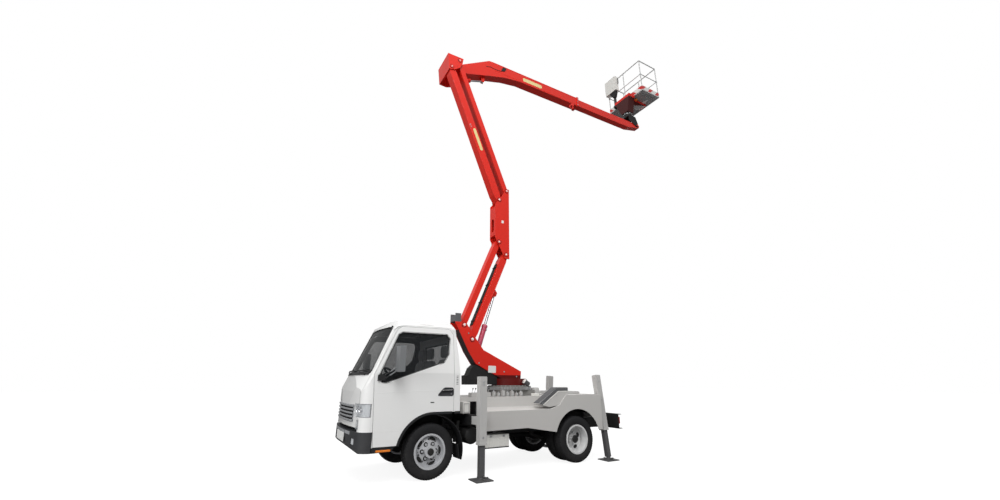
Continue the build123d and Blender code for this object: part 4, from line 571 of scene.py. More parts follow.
def front_sheet(y, z, out, wall, rows=5, columns=41):
    """A thin sheet on the cab's front between two widths and two heights."""
    v, w = np.meshgrid(np.linspace(z[0], z[1], rows), np.linspace(y[0], y[1], columns), indexing="ij")
    return shell(np.stack([skin_x(w, v, out), w, v], -1), wall)


# ---- Tyres: a closed ring worked out from its section, with grooves and shoulder blocks ----

TYRE_SECTION = np.array([
    (-0.0700, 0.206), (-0.0780, 0.213), (-0.0900, 0.232), (-0.0960, 0.262), (-0.0975, 0.282), (-0.0960, 0.302),
    (-0.0915, 0.322), (-0.0860, 0.333), (-0.0780, 0.3405), (-0.0700, 0.3445), (-0.0350, 0.3485), (0.0, 0.3497)])


def tyre(centre_y, x):
    """Ring of 240 by 66 places. The radius is the section's, less 7 mm in three grooves round the tread, and less 6 mm
    in notches that repeat 60 times round each shoulder."""
    half = TYRE_SECTION
    section = np.concatenate([half, (half * (-1, 1))[-2::-1]])
    run = np.concatenate([[0], np.cumsum(np.linalg.norm(np.diff(section, axis=0), axis=1))])
    spots = np.unique(np.round(np.concatenate([np.linspace(0, run[-1], 46), run]), 6))
    width, radius = np.interp(spots, run, section[:, 0]), np.interp(spots, run, section[:, 1])
    a = np.linspace(0, 2 * np.pi, 240, endpoint=False)
    groove = 0.007 * np.exp(-((np.abs(width) - 0.027) / 0.0042) ** 4) + 0.007 * np.exp(-(width / 0.0036) ** 4)
    notch = 0.006 * (np.cos(60 * a) > 0.55)[:, None] * ((np.abs(width) > 0.052) & (radius > 0.325))[None, :]
    bead = 0.0018 * np.exp(-((radius - 0.262) / 0.004) ** 2)
    r = (radius - groove)[None, :] - notch
    w = centre_y + width[None, :] * (1 + bead[None, :] * 2)
    w = np.broadcast_to(w, r.shape)
    flat = np.ones((1, 3))
    inner = np.stack([x + 0.2052 * np.cos(a)[:, None] * flat,
                      np.broadcast_to(centre_y + np.array([0.05, 0.0, -0.05])[None, :], (240, 3)),
                      AXLE_Z + 0.2052 * np.sin(a)[:, None] * flat], -1)
    outer = np.stack([x + r * np.cos(a)[:, None], w, AXLE_Z + r * np.sin(a)[:, None]], -1)
    grid = np.concatenate([outer, inner], 1)
    return grid.reshape(-1, 3), [quads(240, grid.shape[1], True, True)]


def disc_oval(x, side, slope, turn, middle, deep, wide, rise):
    """A thin oval plate on a wheel disc's cone. Its polar grid has t from middle to edge and u round it: the radius from
    the axle is middle + deep t cos u, the angle is turn + wide / middle t sin u, and y follows the cone, which runs from
    slope[0] at 0.120 m by slope[1] over the next 0.076 m. A second sheet lies 3 mm inside, and a band closes the edge."""
    t, u = np.meshgrid(np.linspace(0.04, 1, 6), np.linspace(0, 2 * np.pi, 33)[:-1], indexing="ij")
    r, angle = middle + deep * t * np.cos(u), turn + wide / middle * t * np.sin(u)
    y = side * (slope[0] + (np.maximum(r, 0.120) - 0.120) * slope[1] / 0.076 + rise)
    front = np.stack([x + r * np.cos(angle), y, AXLE_Z + r * np.sin(angle)], -1).reshape(-1, 3)
    n, ring = t.size, np.arange(32)
    edge = 5 * 32 + ring
    edge_next = np.roll(edge, -1)
    sheet = quads(6, 32, False, True)
    band = np.stack([edge, edge_next, n + edge_next, n + edge], -1)
    return (np.concatenate([front, front - np.array([0, side * 0.003, 0])]),
            [sheet, sheet[:, ::-1] + n, ring[None], ring[None, ::-1] + n, band])


def wheels():
    """Tyres with their tread, and the discs' nuts, washers, hand holes, caps and valves."""
    for name, side in SIDES:
        piece(f"tread_front_{name}", [tyre(side * 0.695, FRONT_X)], tyre_rubber, f"wheel_front_{name}", angle=50,
              stands_for=[f"tyre_front_{name}"])
        piece(f"tread_rear_{name}", [tyre(side * 0.735, REAR_X), tyre(side * 0.5, REAR_X)], tyre_rubber,
              f"wheels_rear_{name}", angle=50, stands_for=[f"tyres_rear_{name}"])
        a = np.arange(6) * np.pi / 3
        face = side * FRONT_FACE
        washers = [turned([(0.0, 0.0), (0.029, 0.0), (0.028, side * 0.004), (0.0, side * 0.004)],
                          (FRONT_X + NUT_PITCH * c, face, AXLE_Z + NUT_PITCH * s), sides=24)
                   for c, s in zip(np.cos(a), np.sin(a))]
        piece(f"washers_front_{name}", washers, under_black, f"wheel_front_{name}")
        drum = [(0.072, 0.0), (0.188, 0.0), (0.190, -side * 0.002), (0.190, -side * 0.018), (0.072, -side * 0.018)]
        piece(f"drum_front_{name}", [turned(drum, (FRONT_X, side * 0.714, AXLE_Z), sides=56, closed=True)], under_black,
              f"wheel_front_{name}")
        studs = [turned([(0.0, 0.0), (0.006, 0.0), (0.0055, side * 0.012), (0.003, side * 0.016), (0.0, side * 0.016)],
                        (FRONT_X + NUT_PITCH * c, face + side * 0.022, AXLE_Z + NUT_PITCH * s), sides=12)
                 for c, s in zip(np.cos(a), np.sin(a))]
        piece(f"studs_front_{name}", studs, zinc, f"wheel_front_{name}")
        cap = [(0.0, 0.0), (0.044, 0.0), (0.044, side * 0.006), (0.038, side * 0.012), (0.0, side * 0.014)]
        piece(f"cap_front_{name}", [turned(cap, (FRONT_X, face + side * 0.0702, AXLE_Z))], under_black,
              f"wheel_front_{name}")
        for label, body, x, slope, middle, deep, wide, start in (
                ("front", f"wheel_front_{name}", FRONT_X, (FRONT_FACE, -0.026), 0.157, 0.022, 0.050, math.radians(36)),
                ("rear", f"wheels_rear_{name}", REAR_X, (REAR_FACE, 0.026), 0.157, 0.021, 0.038, 0.35)):
            holes, lips = [], []
            for turn in np.arange(5) * 2 * math.pi / 5 + start:
                holes.append(disc_oval(x, side, slope, turn, middle, deep, wide, 0.0026))
                lips.append(disc_oval(x, side, slope, turn, middle, deep + 0.004, wide + 0.005, 0.0014))
            piece(f"hand_holes_{label}_{name}", holes, under_black, body)
            piece(f"hole_lips_{label}_{name}", lips, rim_silver, body)
        nuts = [turned([(0.0, 0.0), (0.017, 0.0), (0.017, side * 0.016), (0.011, side * 0.022), (0.0, side * 0.022)],
                       (REAR_X + NUT_PITCH * c, side * 0.6405, AXLE_Z + NUT_PITCH * s), sides=6)
                for c, s in zip(np.cos(a), np.sin(a))]
        piece(f"nuts_rear_{name}", nuts, zinc, f"wheels_rear_{name}")
        hub = [(0.0, 0.0), (0.060, 0.0), (0.060, side * 0.010), (0.052, side * 0.020), (0.0, side * 0.022)]
        piece(f"cap_rear_{name}", [turned(hub, (REAR_X, side * 0.7665, AXLE_Z))], under_black, f"wheels_rear_{name}")
        stem = [(FRONT_X + 0.150, face - side * 0.02, AXLE_Z), (FRONT_X + 0.158, face + side * 0.006, AXLE_Z),
                (FRONT_X + 0.166, face + side * 0.030, AXLE_Z)]
        piece(f"valve_front_{name}", [tube(stem, 0.0045, (0, 0, 1.0), 10)], black_rubber, f"wheel_front_{name}")


# ---- Cab outside ----

WINDOW = [(1.982, 1.230), (2.019, 1.329), (1.784, 1.866), (1.727, 1.899), (1.062, 1.899), (1.017, 1.841),
          (1.041, 1.610), (1.119, 1.494), (1.925, 1.222)]
SCREEN = [(-0.722, 1.356), (0.722, 1.356), (0.652, 1.985), (-0.652, 1.985)]
REAR_GLASS = [(-0.52, 1.42), (0.52, 1.42), (0.52, 1.80), (-0.52, 1.80)]


def cab_seals():
    """Rubber frames: a band whose outer line follows the opening and whose inner line is rounder, on the cab's skin."""
    for name, side in SIDES:
        outer, inner = grown(rounded(WINDOW, 0.022), 0.009), grown(rounded(WINDOW, 0.10), -0.013)
        rings = [on_side(outer, side, 0.0016), on_side(inner, side, -0.006), on_side(inner, side, -0.0138),
                 on_side(outer, side, -0.012)]
        piece(f"window_seal_{name}", [carried(rings)], black_rubber, f"door_{name}")
    outer, inner = grown(rounded(SCREEN, 0.03), 0.012), grown(rounded(SCREEN, 0.09), -0.02)
    rings = [on_front(outer, 0.004), on_front(inner, -0.004), on_front(inner, -0.0136), on_front(outer, -0.012)]
    piece("screen_seal", [carried(rings)], black_rubber)
    outer, inner = grown(rounded(REAR_GLASS, 0.03), 0.012), grown(rounded(REAR_GLASS, 0.08), -0.018)
    back = lambda loop, out: np.stack([0.867 + 0.0981 * (loop[:, 1] - 1.398) - out, loop[:, 0], loop[:, 1]], -1)
    piece("rear_seal", [carried([back(outer, 0.002), back(inner, -0.006), back(inner, -0.013), back(outer, -0.012)])],
          black_rubber)


def cowl_and_wipers():
    """Black strip under the screen, and two arms with long blades lying on the glass."""
    chunks = [front_sheet((-0.70, 0.70), (1.326, 1.362), 0.006, 0.005, 4, 61)]
    piece("screen_cowl", chunks, black_plastic)
    for index, (pivot, tip_from, tip_to) in enumerate(((0.60, (0.66, 1.395), (0.05, 1.378)),
                                                       (-0.05, (0.0, 1.395), (-0.62, 1.378)))):
        t = np.linspace(0, 1, 12)
        arm = np.stack([pivot + (tip_from[0] * 0.45 + tip_to[0] * 0.55 - pivot) * t, 1.335 + 0.055 * t], -1)
        arm = np.stack([skin_x(arm[:, 0], arm[:, 1], 0.020 + 0.010 * np.sin(np.pi * t)), arm[:, 0], arm[:, 1]], -1)
        y = np.linspace(tip_from[0], tip_to[0], 30)
        z = np.linspace(tip_from[1], tip_to[1], 30)
        blade = np.stack([skin_x(y, z, 0.013), y, z], -1)
        lip = np.stack([skin_x(y, z - 0.004, 0.004), y, z - 0.004], -1)
        cap = [(0.0, 0.0), (0.017, 0.0), (0.017, 0.014), (0.011, 0.022), (0.0, 0.024)]
        chunks = [tube(arm, 0.0065, (1.0, 0, 0), 10), tube(blade, 0.0052, (1.0, 0, 0), 8),
                  tube(lip, 0.0032, (1.0, 0, 0), 8),
                  turned(cap, (float(skin_x(pivot, 1.335, 0.004)), pivot, 1.335), (0.9, 0, 0.45), 20)]
        piece(f"wiper_{index + 1}", chunks, black_rubber)


def trims():
    """Dark lips round the wheel arches, a flat section carried along 0.49 m arcs and the straight behind them, and the
    sills, side markers and drip rails."""
    a = np.radians(np.linspace(12.5, 90, 40))
    arch = np.concatenate([np.stack([FRONT_X + 0.49 * np.cos(a), AXLE_Z + 0.49 * np.sin(a)], -1),
                           np.stack([np.linspace(1.22, 0.856, 10), np.full(10, 0.84)], -1)])
    inward = np.concatenate([np.stack([np.cos(a), np.sin(a)], -1), np.tile((0.0, 1.0), (10, 1))])
    for name, side in SIDES:
        for body, keep, label in (("chassis", arch[:, 0] < 0.945, "rear"),
                                  (f"door_{name}", arch[:, 0] > 0.962, "door")):
            line, normal = arch[keep], inward[keep]
            ring = lambda reach, y: np.stack([line[:, 0] + normal[:, 0] * reach, np.full(len(line), side * y),
                                              line[:, 1] + normal[:, 1] * reach], -1)
            rings = [ring(0.006, 0.853), ring(-0.022, 0.855), ring(-0.030, 0.849), ring(-0.028, 0.805),
                     ring(-0.0006, 0.805), ring(0.0055, 0.8482)]
            piece(f"arch_lip_{label}_{name}", [carried(rings, False)], black_plastic, body)
        sill = [(2.046, 0.4525), (1.745, 0.4525), (1.765, 0.420), (1.80, 0.396), (2.046, 0.388)]
        piece(f"sill_{name}", [prism(sill, side * 0.70, side * 0.838)], black_plastic, bevel=0.006)
        lens = box_outline((1.80, 1.985), (0.398, 0.423), 0.010)
        base = prism(grown(lens, 0.004), side * 0.836, side * 0.8415)
        piece(f"marker_{name}", [prism(lens, side * 0.838, side * 0.8465)], marker_orange, bevel=0.003)
        piece(f"marker_base_{name}", [base], black_plastic)
    # Drip rails over the doors: a fine bead on the leaning side
    for name, side in SIDES:
        line = np.array([(1.86, 1.925), (1.80, 1.972), (1.72, 1.995), (1.4, 2.0), (1.05, 1.998), (0.985, 1.99),
                         (0.955, 1.95)])
        fine = np.stack([np.interp(np.linspace(0, 6, 60), np.arange(7), line[:, k]) for k in (0, 1)], -1)
        piece(f"drip_rail_{name}", [tube(on_side(fine, side, 0.003), 0.006, (0, 1.0, 0), 8)], white_paint)


def door_fittings():
    """Handle recess, pull and lock, pressed lines, pillar vents, side repeater, and the mirror's glass."""
    for name, side in SIDES:
        cup = rounded([(1.202, 1.052), (1.108, 1.157), (0.966, 1.155), (0.962, 1.048)], 0.032)
        rim = grown(cup, 0.004)
        rings = [on_side(rim, side, 0.0004), on_side(rim, side, 0.0030), on_side(cup, side, 0.0034),
                 on_side(grown(cup, -0.006), side, 0.0010)]
        points, _ = carried(rings)
        n = len(cup)
        groups = [quads(4, n, False, True), np.arange(n)[None], (3 * n + np.arange(n))[None, ::-1]]
        piece(f"handle_cup_{name}", [(points, groups)], bumper_grey, f"door_{name}")
        x = np.linspace(0.985, 1.150, 16)
        lift = 0.004 + 0.010 * np.sin(np.pi * (x - 0.985) / 0.165)
        bar = np.stack([x, side * (0.848 + lift), 1.112 + 0.004 * np.sin(np.pi * (x - 0.985) / 0.165)], -1)
        lock = turned([(0.0, 0.0), (0.011, 0.0), (0.011, side * 0.003), (0.0, side * 0.0035)],
                      (0.998, side * 0.850, 1.075), sides=20)
        piece(f"handle_{name}", [tube(bar, 0.0085, (0, 0, 1.0), 12)], black_plastic, f"door_{name}")
        piece(f"door_lock_{name}", [lock], chrome, f"door_{name}")
        for label, start, stop in (("upper", (2.046, 1.098), (0.975, 1.128)),
                                   ("lower", (2.030, 0.640), (1.640, 0.628))):
            spots = np.linspace(start, stop, 40)
            line = np.stack([spots[:, 0], np.full(40, side * 0.8470), spots[:, 1]], -1)
            piece(f"swage_{label}_{name}", [tube(line, 0.0030, (0, 0, 1.0), 8)], white_paint, f"door_{name}")
        slots = [crate((0.893, 0.922), sided(side, 0.8475, 0.8495), (z, z + 0.007))
                 for z in np.arange(1.20, 1.33, 0.022)]
        piece(f"pillar_vent_{name}", slots, bumper_grey)
        badge = box_outline((1.245, 1.300), (0.962, 0.974), 0.004)
        piece(f"repeater_{name}", [prism(badge, side * 0.8482, side * 0.8510)], bumper_grey, f"door_{name}",
              bevel=0.001)
        head = rounded([(side * 0.925, 1.361), (side * 1.105, 1.361), (side * 1.105, 1.690),
                        (side * 0.925, 1.690)], 0.045)
        inner = grown(head, -0.014)
        piece(f"mirror_pane_{name}", [prism(inner, 1.7596, 1.7622, "x")], chrome, f"door_{name}")


def front_face():
    """Grille bars, lamp backs and bowls, fog lamps, the bumper's lip and the number plate."""
    for z, h, reach in ((0.936, 0.012, 0.52), (0.890, 0.010, 0.505), (0.846, 0.010, 0.50), (0.802, 0.010, 0.50),
                        (0.757, 0.012, 0.51)):
        piece(f"grille_bar_{int(z * 1000)}", [front_sheet((-reach, reach), (z - h, z + h), 0.008, 0.012, 3, 61)],
              grille_silver, bevel=0.003)
    piece("grille_back", [front_sheet((-0.515, 0.515), (0.745, 0.945), -0.020, 0.006, 5, 41)], under_black)
    for name, side in SIDES:
        y = sided(side, 0.552, 0.838)
        v, w = np.meshgrid(np.linspace(0.812, 0.962, 15), np.linspace(y[0], y[1], 61), indexing="ij")
        x = np.maximum(skin_x(w, v, -0.030) + 0.003 * np.sin(w * 260.0), 2.0835)
        piece(f"headlamp_back_{name}", [shell(np.stack([x, w, v], -1), 0.003)], reflector)
        bowls = []
        for centre, radius in ((0.612, 0.052), (0.722, 0.046)):
            place = (float(skin_x(side * centre, 0.885, -0.031)), side * centre, 0.885)
            profile = [(0.0, 0.0), (radius * 0.5, 0.001), (radius * 0.85, 0.010), (radius, 0.020),
                       (radius * 1.06, 0.020), (radius * 1.06, -0.003), (0.0, -0.003)]
            bowls.append(turned(profile, place, (1, 0, 0), 40))
            bowls.append(turned([(0.0, 0.0), (0.012, 0.0), (0.013, 0.010), (0.008, 0.019), (0.0, 0.022)], place,
                                (1, 0, 0), 20))
        piece(f"headlamp_bowls_{name}", bowls, chrome)
        v, w = np.meshgrid(np.linspace(0.668, 0.770, 9), np.linspace(*sided(side, 0.646, 0.740), 21), indexing="ij")
        sheet = np.stack([skin_x(w, v, -0.028) + 0.002 * np.sin(v * 400.0), w, v], -1)
        piece(f"corner_back_{name}", [shell(sheet, 0.003)], grille_silver)
        # Fog lamp: a bezel that follows the bumper, with a pale ribbed glass in it
        outline = box_outline(sided(side, 0.562, 0.678), (0.472, 0.558), 0.016)
        front = lambda loop, out: np.stack([bumper_x(loop[:, 0]) + out, loop[:, 0], loop[:, 1]], -1)
        inner = grown(outline, -0.012)
        rings = [front(outline, -0.030), front(outline, -0.002), front(inner, -0.006), front(inner, -0.032)]
        piece(f"fog_bezel_{name}", [carried(rings)], black_plastic)
        v, w = np.meshgrid(np.linspace(0.480, 0.550, 9), np.linspace(*sided(side, 0.571, 0.669), 25), indexing="ij")
        sheet = np.stack([bumper_x(w) - 0.012 + 0.0012 * np.sin(w * 500.0), w, v], -1)
        piece(f"fog_glass_{name}", [shell(sheet, 0.006)], reflector)
    v, w = np.meshgrid(np.linspace(0.585, 0.628, 4), np.linspace(-0.50, 0.50, 51), indexing="ij")
    piece("bumper_lip", [shell(np.stack([bumper_x(w) - 0.008, w, v], -1), 0.008)], grille_silver, bevel=0.002)
    plate = box_outline((-0.26, 0.26), (0.478, 0.590), 0.012)
    piece("number_plate", [prism(plate, 2.2805, 2.2828, "x")], white_plate, bevel=0.001)


def bumper_x(y, out=0.0):
    """The bumper's front at a width: its middle arc, whose ends lie 0.055 m back at 0.699 m."""
    wide = np.minimum(np.abs(np.asarray(y, float)), 0.699)
    r = (0.699 ** 2 + 0.055 ** 2) / 0.11
    return 2.283 - r + np.sqrt(r * r - wide ** 2) + out


# ---- Cab inside: padded seats ----

def cushion(centre, half, lean=0.0, crown=0.022, channels=3, steps=(36, 40)):
    """A pad on a grid of latitude and longitude: half sizes times signed powers of cosine and sine, so it is a rounded
    block. Its top swells by crown times (1-u^4)(1-v^4), sewn channels sink by 6 mm, and it leans by a share of height."""
    p = np.linspace(-np.pi / 2, np.pi / 2, steps[0])
    q = np.linspace(0, 2 * np.pi, steps[1], endpoint=False)
    power = lambda v, k: np.sign(v) * np.abs(v) ** k
    u = power(np.cos(p), 0.30)[:, None] * power(np.cos(q), 0.34)[None, :]
    v = power(np.cos(p), 0.30)[:, None] * power(np.sin(q), 0.34)[None, :]
    w = power(np.sin(p), 0.40)[:, None] * np.ones((1, steps[1]))
    w = w * (1 - crown / half[2] * (1 - (1 - u ** 4) * (1 - v ** 4)))
    seam = sum(np.exp(-((v - c) / 0.035) ** 2) for c in np.linspace(-0.5, 0.5, channels))
    w = w - np.where(w > 0, 1, -1) * 0.006 / half[2] * seam * (np.abs(w) > 0.4)
    grid = np.stack([u * half[0], v * half[1], w * half[2]], -1) + np.asarray(centre, float)
    grid[..., 0] -= lean * (grid[..., 2] - centre[2])
    return grid.reshape(-1, 3), [quads(steps[0], steps[1], False, True)]


def seat_pads():
    """Three seats: padded cushion, leaning back and headrest each, sewn in channels, in place of the plain solids."""
    for index, (y, half) in enumerate(((0.535, 0.205), (-0.09, 0.200), (-0.515, 0.215))):
        base = piece(f"seat_pad_{index + 1}", [cushion((1.2555, y, 0.9775), (0.2440, half - 0.002, 0.070))], seat_cloth,
                     angle=80)
        back = piece(f"seat_back_{index + 1}", [cushion((1.0065, y, 1.305), (0.049, half - 0.003, 0.2525), 0.088)],
                     seat_cloth, angle=80)
        rest = piece(f"headrest_{index + 1}", [cushion((0.990, y, 1.668), (0.029, 0.123, 0.088), 0.0, 0.012, 2)],
                     seat_cloth, angle=80)
        posts = [tube([(0.990, y + s * 0.06, 1.545), (0.990, y + s * 0.06, 1.60)], 0.006, (0, 1.0, 0), 10)
                 for s in (-1, 1)]
        piece(f"headrest_posts_{index + 1}", posts, chrome)
    piece("seat_riser", [crate((1.012, 1.438), (-0.713, 0.713), (0.8925, 0.9045))], dash_plastic, bevel=0.003,
          stands_for=["seats"])


def dash_details():
    """Instrument hood, vents and the steering wheel's boss, in moulded grey."""
    hood = prism([(1.852, 1.2905), (1.99, 1.2905), (1.96, 1.336), (1.885, 1.330)], 0.29, 0.59)
    piece("instrument_hood", [hood], dash_plastic, bevel=0.008)
    boss = turned([(0.0, -0.012), (0.045, -0.012), (0.060, 0.0), (0.055, 0.014), (0.0, 0.022)], (1.690, 0.440, 1.290),
                  (-math.sin(math.radians(40)), 0, math.cos(math.radians(40))), 32)
    piece("wheel_boss", [boss], black_plastic, bevel=0.002)
    vents = [crate((1.8085, 1.8135), (y - 0.055, y + 0.055), (z, z + 0.006)) for y in (-0.6, -0.2, 0.15)
             for z in (1.180, 1.192, 1.204, 1.216)]
    piece("dash_vents", vents, black_plastic)


# ---- Body, boxes and outriggers ----

def hex_bolts(places, axis, head=0.010, tall=0.007):
    """Six-sided heads with a washer under each, standing along an axis."""
    chunks = []
    for place in places:
        chunks.append(turned([(0.0, 0.0), (head * 1.45, 0.0), (head * 1.45, tall * 0.25), (0.0, tall * 0.25)], place,
                             axis, 18))
        chunks.append(turned([(0.0, tall * 0.2), (head, tall * 0.2), (head, tall * 0.9), (head * 0.86, tall),
                              (0.0, tall)], place, axis, 6))
    return chunks


def body_details():
    """Folded edges on the aprons, tread on the step boxes, latches and ribs on the side boxes, and the frames, air
    tanks and flaps behind the cab."""
    for name, side in SIDES:
        top = np.array([(-1.776, 1.0285), (-1.026, 1.0285), (-0.891, 0.8785), (-0.711, 0.8235), (0.466, 0.8205)])
        fine = np.stack([np.interp(np.linspace(0, 4, 90), np.arange(5), top[:, k]) for k in (0, 1)], -1)
        path = np.stack([fine[:, 0], np.full(90, side * 0.8645), fine[:, 1] + 0.0012], -1)
        piece(f"apron_fold_{name}", [tube(path, 0.0052, (0, 1.0, 0), 10)], apron_paint)
        a = np.radians(np.linspace(8, 172, 60))
        arch = np.stack([REAR_X + 0.4625 * np.cos(a), np.full(60, side * 0.864), AXLE_Z + 0.4625 * np.sin(a)], -1)
        arch = arch[arch[:, 2] > 0.49]
        piece(f"apron_arch_{name}", [tube(arch, 0.0055, (0, 1.0, 0), 10)], apron_paint)
        # Step box: dark tread plate on its slope and top, with raised cross bars, and a pale strip on its side under
        # the slope that is a painted highlight
        slope = np.array([(-0.488, 0.9065), (-0.852, 1.1430)])
        run = unit(slope[1] - slope[0])
        up = np.array([run[1], -run[0]])
        width = sided(side, 0.703, 0.858)
        sheet = prism([slope[0] + up * 0.0005, slope[1] + up * 0.0005, slope[1] + up * 0.004, slope[0] + up * 0.004],
                      *width)
        bars = [prism([slope[0] + run * t + up * 0.003, slope[0] + run * (t + 0.010) + up * 0.003,
                       slope[0] + run * (t + 0.008) + up * 0.0062, slope[0] + run * (t + 0.002) + up * 0.0062],
                      width[0] + 0.008, width[1] - 0.008) for t in np.arange(0.012, 0.42, 0.022)]
        piece(f"step_tread_{name}", [sheet], floor_grey)
        piece(f"step_bars_{name}", bars, floor_grey)
        cap = crate((-1.072, -0.866), width, (1.1452, 1.1490))
        piece(f"step_cap_{name}", [cap], floor_grey, bevel=0.001)
        skirt = [(-0.4885, 0.9050), (-0.852, 1.1415), (-1.070, 1.1425), (-1.070, 1.095), (-0.872, 1.095),
                 (-0.560, 0.8905)]
        face = sided(side, 0.8595, 0.8635)
        piece(f"step_skirt_{name}", [prism(skirt, *face)], floor_grey, bevel=0.001)
        # painted highlight: a pale strip along the side under the dark skirt
        band = [(-0.561, 0.8885), (-0.873, 1.0935), (-1.072, 1.0935), (-1.072, 1.078), (-0.878, 1.078),
                (-0.578, 0.8810)]
        piece(f"step_highlight_strip_{name}", [prism(band, *face)], box_white, bevel=0.001)
        screws = hex_bolts([(-0.56 - 0.14 * i, side * 0.8605, 0.915 + 0.055 * i) for i in range(3)], (0, side, 0),
                           0.006, 0.004)
        piece(f"step_screws_{name}", screws, zinc)
        # Side box: ribs, a dark strip along its lower edge that is painted shadow, and two latches
        y = side * 0.790
        ribs = [prism([(x, 0.345), (x + 0.012, 0.345), (x + 0.012, 0.485), (x, 0.485)], y, y + side * 0.004)
                for x in np.arange(0.06, 0.40, 0.042)]
        piece(f"box_ribs_{name}", ribs, box_white, bevel=0.0015)
        # painted shadow: a dark strip under the side box
        piece(f"box_shadow_strip_{name}", [crate((0.0202, 0.4198), sided(side, 0.735, 0.7915), (0.3205, 0.336))], black_plastic,
              bevel=0.002)
        latch = [crate((x - 0.018, x + 0.018), sided(side, 0.790, 0.7985), (0.470, 0.494)) for x in (0.11, 0.33)]
        piece(f"box_latches_{name}", latch, zinc, bevel=0.002)
        # Lamp box behind the cab: a framed panel with four screws
        frame_loop = box_outline((0.652, 0.748), (0.808, 0.942), 0.014)
        inner = grown(frame_loop, -0.016)
        ring = lambda loop, out: np.stack([loop[:, 0], np.full(len(loop), side * out), loop[:, 1]], -1)
        rings = [ring(frame_loop, 0.7302), ring(frame_loop, 0.7350), ring(inner, 0.7350), ring(inner, 0.7302)]
        piece(f"lamp_box_frame_{name}", [carried(rings)], apron_paint)
        spots = [(x, side * 0.735, z) for x in (0.662, 0.738) for z in (0.818, 0.932)]
        piece(f"lamp_box_screws_{name}", hex_bolts(spots, (0, side, 0), 0.004, 0.003), zinc)
        # Air tank, splash guard and mud flap behind the front wheel
        tank = [(0.0, -0.16), (0.075, -0.16), (0.105, -0.145), (0.115, -0.12), (0.115, 0.12), (0.105, 0.145),
                (0.075, 0.16), (0.0, 0.16)]
        piece(f"air_tank_{name}", [turned(tank, (0.60, side * 0.58, 0.50), (0, 1, 0), 40)], under_black)
        flap = [(0.833, 0.235), (0.846, 0.235), (0.872, 0.42), (0.858, 0.42)]
        guard = [(0.770, 0.560), (0.800, 0.420), (0.848, 0.420), (0.842, 0.560), (0.800, 0.700), (0.760, 0.700)]
        piece(f"splash_guard_{name}", [prism(guard, side * 0.60, side * 0.64)], under_black,
              bevel=0.003)
        piece(f"mud_flap_{name}", [prism(flap, side * 0.63, side * 0.83)], black_rubber, bevel=0.002)


